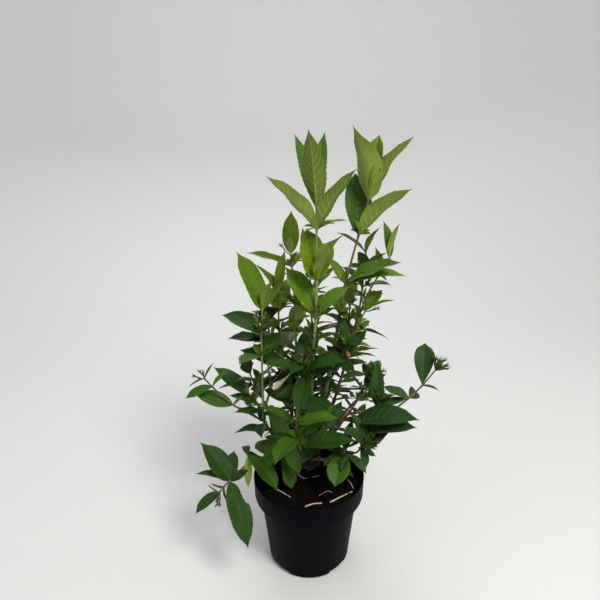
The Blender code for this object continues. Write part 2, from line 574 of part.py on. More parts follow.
# ---------------------------------------------------------------- objects

def material(name, colour, roughness):
    made = bpy.data.materials.new(name)
    made.use_nodes = True
    shader = made.node_tree.nodes["Principled BSDF"]
    shader.inputs["Base Color"].default_value = (*colour, 1.0)
    shader.inputs["Roughness"].default_value = roughness
    return made


def add_object(name, shape, finish, collection=None):
    """An object from points and faces, with its faces turned outwards."""
    points, faces = shape
    mesh = bpy.data.meshes.new(name)
    mesh.from_pydata([tuple(p) for p in points], [], faces)
    work = bmesh.new()
    work.from_mesh(mesh)
    bmesh.ops.recalc_face_normals(work, faces=work.faces)
    work.to_mesh(mesh)
    work.free()
    made = bpy.data.objects.new(name, mesh)
    made.data.materials.append(finish)
    (collection or bpy.context.scene.collection).objects.link(made)
    return made


def combine(body, shapes, operation, solver):
    """Join the shapes to the body, or cut them from it, with one Boolean over their collection."""
    tools = bpy.data.collections.new(body.name + "_tools")
    bpy.context.scene.collection.children.link(tools)
    for i, shape in enumerate(shapes):
        add_object(f"{body.name}_{i}", shape, body.data.materials[0], tools)
    work = body.modifiers.new("work", "BOOLEAN")
    work.operation, work.solver = operation, solver
    work.operand_type, work.collection = "COLLECTION", tools
    bpy.context.view_layer.update()
    result = bpy.data.meshes.new_from_object(body.evaluated_get(bpy.context.evaluated_depsgraph_get()))
    body.modifiers.remove(work)
    body.data = result
    for tool in list(tools.objects):
        bpy.data.objects.remove(tool, do_unlink=True)
    bpy.data.collections.remove(tools)


def ring(radius, height, sides):
    """Points evenly round a level circle about the pot's axis."""
    turns = [math.tau * k / sides for k in range(sides)]
    return [Vector((radius * math.cos(turn), radius * math.sin(turn), height)) for turn in turns]


def turned(profile, sides):
    """A closed body turned round Z from a profile of (radius, height) that starts and ends on it."""
    points, faces, rings = [], [], []
    for radius, height in profile:
        count = sides if radius else 1
        rings.append(range(len(points), len(points) + count))
        points += ring(radius, height, count)
    for one, two in zip(rings, rings[1:]):
        for k in range(sides):
            corners = [one[k % len(one)], one[(k + 1) % len(one)], two[(k + 1) % len(two)], two[k % len(two)]]
            faces.append(tuple(dict.fromkeys(corners)))
    return points, faces


def pot_wall_radius(height):
    """The outer radius of the tapering wall below the collar."""
    top = RIM_RADIUS - COLLAR_DRAFT - COLLAR_STEP
    return BASE_RADIUS + (top - BASE_RADIUS) * height / (POT_HEIGHT - COLLAR_HEIGHT)


def collar_radius(height):
    """The outer radius of the collar."""
    return RIM_RADIUS - COLLAR_DRAFT * (POT_HEIGHT - height) / COLLAR_HEIGHT


def pot_profile():
    """Inside from the floor's centre up to the rim, then outside down to the underside's centre."""
    shelf = POT_HEIGHT - COLLAR_HEIGHT
    floor_turn = FLOOR_HEIGHT + BASE_CHAMFER
    rounded = POT_HEIGHT - 2 * RIM_ROUND
    return [(0.0, FLOOR_HEIGHT), (pot_wall_radius(0.0) - WALL - BASE_CHAMFER, FLOOR_HEIGHT),
            (pot_wall_radius(floor_turn) - WALL, floor_turn), (pot_wall_radius(shelf) - WALL, shelf + WALL),
            (collar_radius(shelf) - WALL, shelf + WALL), (RIM_RADIUS - WALL, rounded),
            (RIM_RADIUS - WALL + RIM_ROUND, POT_HEIGHT), (RIM_RADIUS - RIM_ROUND, POT_HEIGHT),
            (RIM_RADIUS, rounded), (collar_radius(shelf), shelf),
            (pot_wall_radius(shelf), shelf), (pot_wall_radius(BASE_CHAMFER), BASE_CHAMFER),
            (BASE_RADIUS - BASE_CHAMFER, 0.0), (0.0, 0.0)]


def make_pot(finish):
    """The container, with drain notches cut round the edge of its base."""
    pot = add_object("pot", turned(pot_profile(), POT_SIDES), finish)
    notches = []
    for k in range(DRAIN_COUNT):
        turn = math.tau * (k + 0.5) / DRAIN_COUNT
        reach = BASE_RADIUS - DRAIN_DEPTH + DRAIN_WIDTH / 2
        centre = Vector((math.cos(turn), math.sin(turn), 0.0)) * reach
        points, faces = turned([(0.0, DRAIN_HEIGHT), (DRAIN_WIDTH / 2, DRAIN_HEIGHT),
                                (DRAIN_WIDTH / 2, -DRAIN_HEIGHT), (0.0, -DRAIN_HEIGHT)], DRAIN_SIDES)
        notches.append(([p + centre for p in points], faces))
    combine(pot, notches, "DIFFERENCE", "EXACT")


def soil_height(x, y):
    """The soil's uneven top, level under the root crown and at the wall."""
    to_crown = math.hypot(x - CROWN_CENTRE.x, y - CROWN_CENTRE.y)
    calm = min(max(to_crown / CROWN_RADIUS - LUMP_BORDER, 0.0), 1.0)
    u, v = x * math.tau / LUMP_PITCH, y * math.tau / LUMP_PITCH
    lumps = math.sin(u + 1.0) * math.cos(0.9 * v) + 0.6 * math.sin(0.5 * u - 0.8 * v)
    return SOIL_TOP - abs(lumps) * SOIL_ROUGHNESS * calm


def soil_shape():
    """The root ball's soil: it fills the pot to a finger below its rim, over the collar's ledge."""
    foot, ledge = FLOOR_HEIGHT + GAP, POT_HEIGHT - COLLAR_HEIGHT + WALL
    inset = WALL + SOIL_SIDE_GAP
    broad, narrow, low = (collar_radius(ledge) - inset, pot_wall_radius(ledge - WALL) - inset,
                          pot_wall_radius(SOIL_FOOT_RISE) - inset)
    profile = [(0.0, SOIL_TOP)]
    profile += [(broad * step / SOIL_RINGS, SOIL_TOP) for step in range(1, SOIL_RINGS)]
    profile += [(broad, SOIL_TOP - SOIL_EDGE_DROP), (broad, ledge + GAP), (narrow, ledge + GAP),
                (low, SOIL_FOOT_RISE), (low - 2 * BASE_CHAMFER, foot), (0.0, foot)]
    points, faces = turned(profile, SOIL_SIDES)
    for point in points:
        if point.z == SOIL_TOP:
            point.z = soil_height(point.x, point.y)
    return points, faces


def root_crown_shape():
    """The stool that the stems rise from: flared and lobed at the soil, narrower above."""
    levels = ((CROWN_NECK * 0.8, 1.0), (CROWN_NECK * 1.12, 0.75), (CROWN_RADIUS * 0.86, 0.25),
              (CROWN_RADIUS, 0.0))
    profile = [(radius, share * CROWN_HEIGHT) for radius, share in ((0.0, 1.0),) + levels + ((0.0, 0.0),)]
    points, faces = turned(profile, CROWN_SIDES)
    for point in points:
        lobe = math.cos(LOBE_COUNT * math.atan2(point.y, point.x) + 0.6)
        swell = 1 + CROWN_LOBE * (1 - point.z / CROWN_HEIGHT) * lobe
        point.x, point.y = point.x * swell, point.y * swell
    return [point + CROWN_CENTRE for point in points], faces


def main():
    for old in list(bpy.data.objects):
        bpy.data.objects.remove(old, do_unlink=True)
    plastic = material("black_plastic", (0.012, 0.015, 0.020), 0.42)
    peat = material("peat", (0.020, 0.014, 0.010), 0.95)
    bark = material("bark", (0.17, 0.09, 0.055), 0.75)
    leaf = material("leaf", (0.10, 0.26, 0.035), 0.48)

    make_pot(plastic)
    add_object("soil", soil_shape(), peat)

    pot_tree = turned(pot_profile(), POT_SIDES)
    shrub = Shrub([pot_tree, soil_shape(), root_crown_shape()])
    stubs, limbs = grow_limbs(shrub)
    crown = add_object("root_crown", root_crown_shape(), bark)
    combine(crown, stubs, "UNION", "MANIFOLD")
    for name, shape in limbs.items():
        add_object(name, shape, bark)

    stems = [spray_stem(spray, shrub) for spray in SPRAYS]
    leads = [place_leads(spray, shrub) for spray in SPRAYS]
    dice = random.Random(SEED)
    for spray, stem, shapes in zip(SPRAYS, stems, leads):
        body = add_object(spray.name, stem, leaf)
        combine(body, shapes + grow_spray(spray, shrub, dice), "UNION", "MANIFOLD")


main()
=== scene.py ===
"""The looks of the potted weigela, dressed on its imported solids.

The stems and sprays are grown by the same layout and rule as the solids (lengths in millimetres,
see mm), then carried on to finer twigs and small leaves.  Each leaf is a thin closed blade with
a toothed margin, sunken veins and its own upper and under side.
"""

import json
import math
import random
from dataclasses import dataclass, field
from functools import lru_cache

import bpy
import numpy as np
from mathutils import Matrix, Vector, noise
from mathutils.bvhtree import BVHTree

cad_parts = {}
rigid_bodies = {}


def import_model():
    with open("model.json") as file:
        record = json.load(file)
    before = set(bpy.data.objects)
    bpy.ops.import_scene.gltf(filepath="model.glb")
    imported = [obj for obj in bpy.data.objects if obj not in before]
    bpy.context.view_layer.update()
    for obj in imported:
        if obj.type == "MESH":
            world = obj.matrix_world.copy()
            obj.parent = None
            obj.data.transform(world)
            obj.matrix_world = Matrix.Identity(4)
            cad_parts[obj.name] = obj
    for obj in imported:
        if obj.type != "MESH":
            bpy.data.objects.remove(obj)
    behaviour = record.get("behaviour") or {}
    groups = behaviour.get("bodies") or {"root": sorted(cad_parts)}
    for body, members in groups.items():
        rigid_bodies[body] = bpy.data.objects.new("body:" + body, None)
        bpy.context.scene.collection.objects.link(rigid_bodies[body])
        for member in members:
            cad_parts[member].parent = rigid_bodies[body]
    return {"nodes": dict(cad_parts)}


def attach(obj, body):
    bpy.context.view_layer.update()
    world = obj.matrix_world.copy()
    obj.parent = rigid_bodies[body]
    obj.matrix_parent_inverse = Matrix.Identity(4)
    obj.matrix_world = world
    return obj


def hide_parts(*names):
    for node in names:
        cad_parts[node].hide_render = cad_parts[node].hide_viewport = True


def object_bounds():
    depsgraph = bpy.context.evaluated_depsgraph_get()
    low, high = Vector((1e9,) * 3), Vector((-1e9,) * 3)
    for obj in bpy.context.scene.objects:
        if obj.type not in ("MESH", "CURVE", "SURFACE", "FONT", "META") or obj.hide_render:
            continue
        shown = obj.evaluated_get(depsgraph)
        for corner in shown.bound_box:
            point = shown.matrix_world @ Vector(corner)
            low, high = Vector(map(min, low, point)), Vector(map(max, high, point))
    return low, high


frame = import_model()
cad_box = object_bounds()

MM = 0.001
GAP = 0.0003
UP = Vector((0.0, 0.0, 1.0))

# The pot, its soil and the root crown, as the solids have them.
POT_HEIGHT = 0.1606
RIM_RADIUS = 0.0926
COLLAR_HEIGHT = 0.035
COLLAR_DRAFT = 0.0008
COLLAR_STEP = 0.0095
BASE_RADIUS = 0.069
WALL = 0.0015
FLOOR_HEIGHT = 0.0021
BASE_CHAMFER = 0.004
DRAIN_COUNT = 4
DRAIN_WIDTH = 0.060
DRAIN_HEIGHT = 0.0075
DRAIN_DEPTH = 0.010
SOIL_TOP = 0.146
CROWN_CENTRE = Vector((0.0, 0.042, SOIL_TOP + GAP))
CROWN_RADIUS = 0.019
CROWN_NECK = 0.013
CROWN_HEIGHT = 0.012
CROWN_LOBE = 0.12
STUB_LENGTH = 0.017
STUB_ROOT_HEIGHT = 0.55
STUB_RING_REACH = 0.03
STUB_RING_INNER = 0.35
STUB_CLEAR = 0.004
STUB_DIP = 0.02
LOBE_COUNT = 5

# The growth rule's own values, as the solids have them.
LEAF_THICKNESS = 0.013
LEAF_LEAST_THICKNESS = 0.0008
LEAF_DROOP = (14, 34)
LEAF_FOLD = (12, 26)
LEAD_STATIONS = ((0.22, 0.42), (0.5, 1.0), (0.8, 0.56))
LEAF_STATIONS = ((0.3, 0.86), (0.68, 0.84))
CLEAR_MARGIN = 0.0007
CROWN_LOW, CROWN_HIGH = 0.030, 0.725        # a leaf's tip stays between these heights
STEM_SIDES = 3
LIMB_SIDES = 6
SPRAY_FOOT_RADIUS = 0.0020
SPRAY_TIP_RADIUS = 0.0012
SPRAY_LEAD_IN = 0.004
LAST_NODE = 0.985
TWIG_LENGTH = (30, 46)
TWIG_LEAF = (30, 44)
TWIG_NODES = (0.55, 0.97)
CALYX_LENGTH = (16, 29)
CALYX_SPREAD = (0.35, 1.0)
CALYX_RADIUS = 0.0010
CALYX_NODE = 0.97
TURN_TRIES = (0, 12, -12, 24, -24, 36, -36, 50, -50)
PAIR_TURN = 10                  # how far a pair may turn from the rule, and a leaf from its pair, in degrees
LEAF_TURN = 8
LEAF_TILT = 7
LEAF_ROLL = 16
LENGTH_SPREAD = (0.86, 1.08)
SLIM_SPREAD = (0.92, 1.08)
SEED = 11
FINE_SEED = 29


def mm(x, y, z):
    """A place given in millimetres."""
    return Vector((x, y, z)) * MM


# ---------------------------------------------------------------- the layout of the shrub

@dataclass(frozen=True)
class Limb:
    """A woody stem: the points it passes, its radii and the limb it forks off, if not the root crown.

    greens are the shares of its way at which the bark turns tan, olive and green.
    """
    name: str
    way: tuple
    thick: tuple
    on: str = None
    at: float = 1.0
    greens: tuple = (0.35, 0.6, 0.85)
    tone: str = "deep"


@dataclass(frozen=True)
class Lead:
    """One leaf's plan: turn and rise are its chord's, slim is its width over its length.

    Those with LEAD_STATIONS are set one by one, because they shape the crown's outline.
    """
    length: float
    turn: float
    rise: float
    roll: float
    slim: float
    tone: str = None
    form: str = "pointed"
    stations: tuple = LEAD_STATIONS


@dataclass(frozen=True)
class Spray:
    """A leafy shoot: the limb that carries it, the piece its leaves are joined into, its way, and
    the rule its leaf pairs follow.

    nodes are shares of the shoot's length and turn is the heading of the first pair.  leaf, rise
    and slim are the leaves' length, lift and width over length at the foot and at the tip.
    lead holds the leaves set one by one, by (node, side); a side over 1 is an extra leaf.  Leaves
    without a tone of their own take the shoot's.
    """
    name: str
    limb: str
    piece: str
    way: tuple
    nodes: tuple = (0.35, 0.7, 1.0)
    turn: float = 0.0
    leaf: tuple = (70, 60)
    rise: tuple = (20, 45)
    slim: tuple = (0.46, 0.42)
    at: float = 1.0
    twigs: int = 0
    calyx: int = 0
    tone: str = "deep"
    lead: dict = field(default_factory=dict)


# Where a limb names one of the two darkest leaf tones, the leaves along it carry painted shade.
LIMBS = (
    Limb("stem_left", ((-41, 44, 186), (-56, 42, 201), (-74, 30, 238), (-75, 21, 270)),
         (3.4, 2.2), greens=(0.3, 0.42, 0.55), tone="deep_shaded"),
    Limb("stem_right", ((13, 36, 200), (23, 30, 264), (34, 21, 330), (37, 20, 360)),
         (3.8, 2.8), greens=(0.34, 0.46, 0.72), tone="low"),
    Limb("stem_centre", ((3, 27, 200), (5, 14, 262), (6, -8, 364), (9, -17, 420)),
         (3.2, 2.5), greens=(0.22, 0.3, 0.42), tone="deep_shaded"),
    Limb("stem_inner", ((-9, 33, 200), (-13, 26, 250), (-18, 40, 338)),
         (2.8, 2.4), greens=(0.25, 0.4, 0.6), tone="deep_shaded"),
    Limb("stem_right_back", ((27, 50, 205), (50, 58, 280), (74, 67, 372), (82, 70, 404)),
         (2.6, 1.8), greens=(0.3, 0.6, 0.9)),
    Limb("stem_back", ((2, 66, 200), (4, 92, 262), (10, 116, 350)), (2.9, 2.0)),
    Limb("stem_back_left", ((-20, 62, 196), (-34, 86, 250), (-46, 106, 330)), (2.9, 2.0)),
    Limb("stem_back_right", ((24, 66, 192), (46, 84, 245), (70, 98, 320)), (2.8, 2.0)),
    Limb("branch_right", ((24, 28, 192), (46, 14, 236), (63, 8, 266), (106, 2, 276), (140, 0, 284)),
         (2.6, 1.8), greens=(0.45, 0.75, 2.0), tone="deep_shaded"),
    Limb("branch_right_upper", ((26, 38, 196), (44, 31, 230), (68, 23, 270), (88, 14, 299)),
         (2.4, 1.8), greens=(0.6, 2.0, 2.0)),
    Limb("branch_right_low", ((24, 22, 170), (46, 2, 186), (76, -24, 216)),
         (2.2, 1.7), greens=(0.35, 0.7, 0.9)),
    Limb("branch_over_soil", ((9, 10, 178), (30, -8, 190), (50, -24, 203)),
         (2.2, 1.7), greens=(0.1, 0.25, 0.5)),
    Limb("branch_front", ((-7, 12, 180), (-11, -14, 208), (-14, -40, 236)), (2.4, 1.8)),
    Limb("branch_left_low", ((-30, 30, 166), (-62, 20, 176), (-100, 2, 177), (-121, -24, 172)),
         (2.4, 1.7), greens=(0.5, 0.8, 2.0)),
    Limb("branch_back_low_left", ((-28, 68, 172), (-52, 90, 196), (-82, 112, 234)), (2.4, 1.8)),
    Limb("branch_back_low", ((-2, 72, 172), (0, 100, 190), (6, 134, 226)), (2.4, 1.8)),
    Limb("branch_back_low_right", ((30, 62, 172), (56, 84, 192), (88, 108, 226)), (2.4, 1.8)),
    Limb("branch_far_left", ((-96, 20, 262), (-118, 11, 281)),
         (1.9, 1.6), "stem_left", 0.74, greens=(0.0, 0.2, 2.0)),
)

# Shoots and leads with the two darkest tones carry painted shade; the two top leads with the brightened tone
# carry painted light.
SPRAYS = (
    Spray("leaves_centre_top", "stem_centre", "centre", ((11, -20, 455), (12, -23, 520), (11, -25, 612)),
          tone="young", nodes=(0.18, 0.44, 0.83, 1.0), leaf=(78, 106), rise=(40, 66), slim=(0.4, 0.3),
          lead={(0, 0): Lead(84, 163, 50, -35, 0.44, "fresh"), (0, 1): Lead(66, 12, 32, 25, 0.4, "fresh"),
                (1, 0): Lead(78, 140, 72, -25, 0.42, "painted_light", "full"), (1, 1): Lead(86, -30, 60, 0, 0.40),
                (1, 2): Lead(70, 66, 44, 0, 0.44, form="full"), (2, 2): Lead(60, 38, 6, 0, 0.26),
                (2, 0): Lead(107, -162, 45, 30, 0.36, form="long"),
                (2, 1): Lead(106, -22, 53, -30, 0.32, form="long"),
                (3, 0): Lead(113, -106, 67, 0, 0.32, form="long"),
                (3, 1): Lead(112, 122, 60, 0, 0.3, "deep", "slim"),
                (3, 2): Lead(116, 76, 60, 0, 0.22, "deep", "slim")}),
    Spray("leaves_right_top", "stem_right", "right_top",
          ((47, 20, 420), (57, 20, 486), (74, 15, 562), (88, 15, 617)),
          tone="young", nodes=(0.30, 0.49, 0.79, 1.0), turn=90, leaf=(60, 108), rise=(25, 66),
          lead={(1, 0): Lead(92, -17, 24, 20, 0.4, "fresh"), (1, 1): Lead(50, 140, 46, -20, 0.34),
                (1, 2): Lead(94, -6, 7, 15, 0.34), (2, 0): Lead(96, 94, 63, 0, 0.42, "deep", "broad"),
                (2, 1): Lead(104, -12, 40, -42, 0.38), (3, 0): Lead(113, -134, 68, 0, 0.42, form="drawn"),
                (3, 1): Lead(114, -18, 54, -40, 0.4), (3, 2): Lead(96, 60, 70, 0, 0.34, "painted_light", "spoon")}),
    Spray("leaves_centre_left", "stem_inner", "centre", ((-20, 44, 400), (-20, 45, 443), (-26, 50, 530)),
          tone="young", nodes=(0.14, 0.34, 0.55, 0.88, 1.0), turn=160, twigs=1, leaf=(72, 62),
          rise=(10, 60), calyx=5,
          lead={(3, 0): Lead(76, -172, 18, -20, 0.26), (3, 1): Lead(46, 20, 40, 0, 0.5),
                (4, 0): Lead(68, 85, 78, 0, 0.48, form="slim"), (4, 1): Lead(38, -95, 60, 0, 0.3)}),
    Spray("leaves_left_top", "stem_left", "left", ((-74, 15, 330), (-73, 10, 400), (-70, 10, 452)),
          nodes=(0.56, 0.78, 1.0), turn=60, leaf=(60, 85), rise=(15, 52), calyx=4,
          lead={(2, 0): Lead(98, 168, 64, -30, 0.42, "fresh"),
                (2, 1): Lead(54, -40, 68, 0, 0.42, "young", "spoon"),
                (2, 2): Lead(60, 50, 32, 20, 0.26, "fresh"), (1, 0): Lead(66, 175, 22, -25, 0.38, "low")}),
    Spray("leaves_left_dark", "stem_left", "left", ((-64, 33, 305), (-68, 45, 370), (-70, 52, 415)),
          tone="deep_shaded", nodes=(0.28, 0.52, 0.78, 1.0), turn=-150, twigs=1, leaf=(64, 70), rise=(15, 35),
          at=0.93,
          lead={(1, 0): Lead(54, -172, 28, -20, 0.46), (2, 0): Lead(64, -166, 8, -10, 0.42),
                (3, 0): Lead(74, 178, 8, -20, 0.34)}),
    Spray("leaves_left_mid", "stem_left", "left", ((-84, 27, 276), (-98, 26, 296)),
          nodes=(0.55, 1.0), turn=-100, leaf=(50, 56), rise=(5, 10), at=0.86,
          lead={(0, 0): Lead(46, -178, 14, -20, 0.36, "deep_shaded"),
                (1, 0): Lead(76, 172, 33, -30, 0.44, "deep_shaded", "slim")}),
    Spray("leaves_left_hanging", "stem_left", "left", ((-54, 28, 212), (-52, 14, 214)),
          nodes=(0.6, 1.0), turn=-60, leaf=(56, 60), rise=(-40, -30), at=0.42,
          lead={(0, 0): Lead(56, -112, -42, 0, 0.5, "fresh"),
                (1, 0): Lead(82, -63, -50, 0, 0.3, form="drop")}),
    Spray("leaves_far_left", "branch_far_left", "left", ((-136, 6, 302), (-152, 4, 320), (-165, 0, 340)),
          nodes=(0.08, 0.72, 1.0), turn=-150, leaf=(30, 28), rise=(10, 15), slim=(0.3, 0.22), calyx=7,
          lead={(0, 0): Lead(66, -176, 15, -35, 0.42), (0, 1): Lead(26, 60, 20, 0, 0.3),
                (1, 0): Lead(48, -168, -22, -20, 0.42), (1, 1): Lead(40, 30, 36, 0, 0.3),
                (2, 0): Lead(30, -175, -28, 0, 0.2), (2, 1): Lead(28, 40, 50, 0, 0.2)}),
    Spray("leaves_left_low", "branch_left_low", "left_low", ((-134, -38, 168), (-144, -48, 160)),
          tone="low", nodes=(0.35, 0.7, 1.0), turn=150, leaf=(36, 28), rise=(35, 0), slim=(0.3, 0.26),
          calyx=4,
          lead={(0, 0): Lead(82, 152, 42, -10, 0.5, form="drawn"), (0, 1): Lead(36, 14, 22, 30, 0.46),
                (0, 2): Lead(52, 85, 34, 0, 0.48), (0, 3): Lead(58, -176, 18, 0, 0.3),
                (0, 4): Lead(106, -63, -45, 0, 0.34, form="bitten"), (2, 0): Lead(50, -145, -26, 0, 0.46)}),
    Spray("leaves_rim_left", "branch_left_low", "left_low", ((-101, 4, 190), (-103, -2, 198)),
          tone="low", nodes=(0.7, 1.0), turn=-40, leaf=(66, 50), rise=(-10, 10), at=0.74,
          # painted light: the first leaf takes the lighter deep tone against the shade at the crown's foot
          lead={(0, 0): Lead(76, -44, -38, 0, 0.48, "deep", "broad"),
                (0, 1): Lead(54, -100, -60, 0, 0.26, "pale"), (1, 0): Lead(34, 100, -10, 0, 0.44),
                (1, 1): Lead(46, 10, -40, 0, 0.42)}),
    Spray("leaves_inner_left", "stem_inner", "inner", ((-28, 36, 345), (-34, 22, 352)),
          tone="low", nodes=(0.5, 1.0), turn=-160, leaf=(72, 74), rise=(-5, 10), at=0.90),
    Spray("leaves_inner_low", "stem_centre", "inner", ((-6, 6, 290), (-12, -2, 300)),
          tone="deep_shaded", nodes=(0.6, 1.0), turn=-120, leaf=(74, 72), rise=(-15, 15), at=0.40),
    Spray("leaves_inner_foot", "stem_centre", "inner", ((13, 10, 232), (20, -2, 242)),
          tone="low", nodes=(0.5, 1.0), turn=-40, leaf=(68, 72), rise=(-5, 0), at=0.12),
    Spray("leaves_inner_middle", "stem_centre", "inner", ((-4, -14, 345), (-8, -22, 372)),
          tone="low", nodes=(0.4, 0.7, 1.0), turn=-110, leaf=(76, 70), rise=(5, 30), at=0.66),
    Spray("leaves_inner_back", "stem_right", "inner", ((14, 34, 330), (6, 38, 352)),
          tone="deep_shaded", nodes=(0.4, 0.7, 1.0), turn=60, leaf=(76, 70), rise=(5, 30), at=0.60),
    Spray("leaves_inner_right", "stem_right", "inner", ((48, 10, 350), (58, 0, 392)),
          tone="low", nodes=(0.4, 0.75, 1.0), turn=-60, twigs=1, leaf=(68, 64), rise=(20, 45), at=0.88,
          lead={(0, 0): Lead(44, -6, 4, 20, 0.34), (0, 1): Lead(54, 62, 38, 0, 0.42)}),
    Spray("leaves_right_middle", "stem_right", "right_top", ((56, 30, 372), (74, 32, 405), (91, 30, 441)),
          tone="fresh", nodes=(0.35, 0.68, 1.0), turn=20, twigs=1, leaf=(46, 44), rise=(20, 45), at=0.97,
          lead={(2, 0): Lead(46, 30, 38, 25, 0.42), (2, 1): Lead(50, -155, 25, 0, 0.3),
                (2, 2): Lead(50, -4, 22, 0, 0.26)}),
    Spray("leaves_right_back_top", "stem_right_back", "right_top",
          ((96, 73, 445), (108, 75, 470), (133, 75, 513)),
          tone="young", nodes=(0.35, 0.7, 1.0), turn=30, leaf=(44, 60), rise=(20, 62),
          lead={(2, 0): Lead(64, 120, 72, 0, 0.28, "deep"), (2, 1): Lead(76, 35, 74, -40, 0.22)}),
    Spray("leaves_right_behind", "stem_right_back", "right_top",
          ((86, 62, 440), (89, 58, 485), (92, 58, 528)),
          nodes=(0.55, 0.78, 1.0), turn=-40, leaf=(54, 48), rise=(25, 60), at=0.9,
          lead={(2, 0): Lead(58, 172, 34, 0, 0.38), (1, 0): Lead(48, -20, 40, -20, 0.44)}),
    Spray("leaves_right_end", "branch_right", "right", ((163, 0, 303), (180, 0, 322), (201, 0, 352)),
          tone="deep_shaded", nodes=(0.3, 0.62), turn=60, leaf=(48, 30), rise=(15, 30), calyx=10,
          lead={(1, 0): Lead(70, 76, 54, 0, 0.54, form="spoon"), (0, 1): Lead(46, 160, 14, -20, 0.4)}),
    Spray("leaves_right_upper", "branch_right_upper", "right", ((98, 17, 312), (104, 19, 330)),
          tone="deep_shaded", nodes=(0.3, 0.7, 1.0), turn=-70, leaf=(40, 30), rise=(30, 50), calyx=4,
          lead={(0, 0): Lead(66, -176, -3, 20, 0.34), (0, 1): Lead(36, 40, 40, 0, 0.36)}),
    Spray("leaves_right_upright", "branch_right", "right", ((112, 3, 284), (115, 2, 293)),
          tone="deep_shaded", nodes=(0.4, 1.0), turn=80, leaf=(34, 30), rise=(20, 40), at=0.74, calyx=5,
          lead={(0, 0): Lead(80, 85, 72, 0, 0.32, form="long"), (0, 1): Lead(54, 6, 10, 20, 0.3)}),
    Spray("leaves_right_arching", "branch_right", "right", ((80, -12, 262), (92, -24, 256)),
          tone="deep_shaded", nodes=(0.35, 1.0), turn=-20, leaf=(60, 50), rise=(5, 0), at=0.52,
          lead={(0, 0): Lead(114, -28, 15, 14, 0.42), (0, 1): Lead(58, -110, -32, 0, 0.26),
                (1, 0): Lead(80, -12, 9, 14, 0.46)}),
    Spray("leaves_right_low", "branch_right_low", "right", ((84, -28, 228), (90, -40, 242)),
          tone="deep_shaded", nodes=(0.4, 1.0), turn=-90, leaf=(44, 60), rise=(-30, 20), calyx=6,
          lead={(0, 0): Lead(32, -60, -60, 0, 0.5), (0, 1): Lead(72, 8, 38, 30, 0.58, form="broad"),
                (1, 0): Lead(62, 122, 50, 0, 0.26)}),
    Spray("leaves_over_rim", "branch_over_soil", "right", ((57, -29, 214), (64, -35, 219)),
          tone="deep_shaded", nodes=(0.4, 1.0), turn=100, leaf=(60, 46), rise=(20, -10), slim=(0.62, 0.5),
          lead={(0, 0): Lead(52, -110, -26, 0, 0.76, "deep", "broad"),
                (0, 1): Lead(36, -165, -18, 0, 0.6, "deep", "broad"), (1, 0): Lead(42, -34, -24, 0, 0.44),
                (1, 1): Lead(34, -150, -34, 0, 0.4)}),
    Spray("leaves_front_low", "branch_front", "front", ((-19, -8, 232), (-30, -22, 240)),
          nodes=(0.5, 1.0), turn=-170, leaf=(70, 66), rise=(0, -10), at=0.62),
    Spray("leaves_front", "branch_front", "front", ((-17, -52, 258), (-19, -62, 290), (-18, -66, 322)),
          nodes=(0.1, 0.4, 0.7, 1.0), turn=-20, leaf=(80, 62), rise=(-5, 40),
          lead={(0, 0): Lead(92, -8, 8, 12, 0.4, "low"), (0, 1): Lead(50, 172, 16, 0, 0.5)}),
    Spray("leaves_back", "stem_back", "back", ((8, 124, 400), (6, 128, 470)),
          tone="young", nodes=(0.1, 0.4, 0.7, 1.0), turn=20, leaf=(78, 86), rise=(15, 60),
          slim=(0.46, 0.34), twigs=1),
    Spray("leaves_back_left", "stem_back_left", "back", ((-50, 116, 380), (-50, 120, 436)),
          tone="young", nodes=(0.1, 0.4, 0.72, 1.0), turn=70, leaf=(72, 76), rise=(15, 55), twigs=1,
          lead={(3, 0): Lead(84, 60, 72, 0, 0.24)}),
    Spray("leaves_back_right", "stem_back_right", "back", ((74, 108, 370), (74, 112, 420)),
          tone="young", nodes=(0.1, 0.42, 0.72, 1.0), turn=-30, leaf=(70, 66), rise=(15, 55), twigs=1),
    Spray("leaves_back_low_left", "branch_back_low_left", "back_low", ((-96, 118, 258), (-106, 124, 284)),
          nodes=(0.15, 0.55, 1.0), turn=100, twigs=1, leaf=(70, 58), rise=(5, 35), calyx=5),
    Spray("leaves_back_low", "branch_back_low", "back_low", ((8, 148, 248), (8, 160, 282)),
          nodes=(0.15, 0.55, 1.0), turn=10, twigs=1, leaf=(76, 64), rise=(0, 35), calyx=4),
    Spray("leaves_back_low_right", "branch_back_low_right", "back_low", ((100, 116, 246), (110, 122, 272)),
          nodes=(0.15, 0.55, 1.0), turn=60, twigs=1, leaf=(70, 58), rise=(5, 35), calyx=4),
)


# ---------------------------------------------------------------- what only the looks need

TONES = {       # upper side, under side, upper vein, under vein: linear colours
    "young": ((0.094, 0.150, 0.006), (0.190, 0.262, 0.045), (0.155, 0.215, 0.024), (0.290, 0.365, 0.105)),
    "fresh": ((0.062, 0.128, 0.002), (0.210, 0.290, 0.040), (0.110, 0.180, 0.012), (0.270, 0.345, 0.075)),
    # painted light: a brighter copy of the fresh tone, for leaves that turn their faces away from the lamps
    "painted_light": ((0.130, 0.220, 0.004), (0.215, 0.295, 0.045), (0.180, 0.270, 0.020), (0.290, 0.365, 0.090)),
    "deep": ((0.038, 0.096, 0.006), (0.085, 0.140, 0.020), (0.070, 0.135, 0.018), (0.120, 0.185, 0.045)),
    # painted shade: the next two tones are the inner and lower leaves' deeper green, darkened further for the
    # shade inside the crown
    "low": ((0.016, 0.050, 0.004), (0.045, 0.088, 0.018), (0.040, 0.086, 0.015), (0.074, 0.126, 0.038)),
    "deep_shaded": ((0.019, 0.056, 0.008), (0.045, 0.088, 0.020), (0.058, 0.108, 0.030), (0.070, 0.118, 0.040)),
    # a yellowing leaf's own pale colour, brightened further as painted light on its shaded face
    "pale": ((0.250, 0.335, 0.050), (0.290, 0.375, 0.075), (0.330, 0.410, 0.105), (0.350, 0.430, 0.125)),
}
TINTS = (0.80, 1.0, 1.2)        # each tone is dealt out in these strengths, leaf by leaf
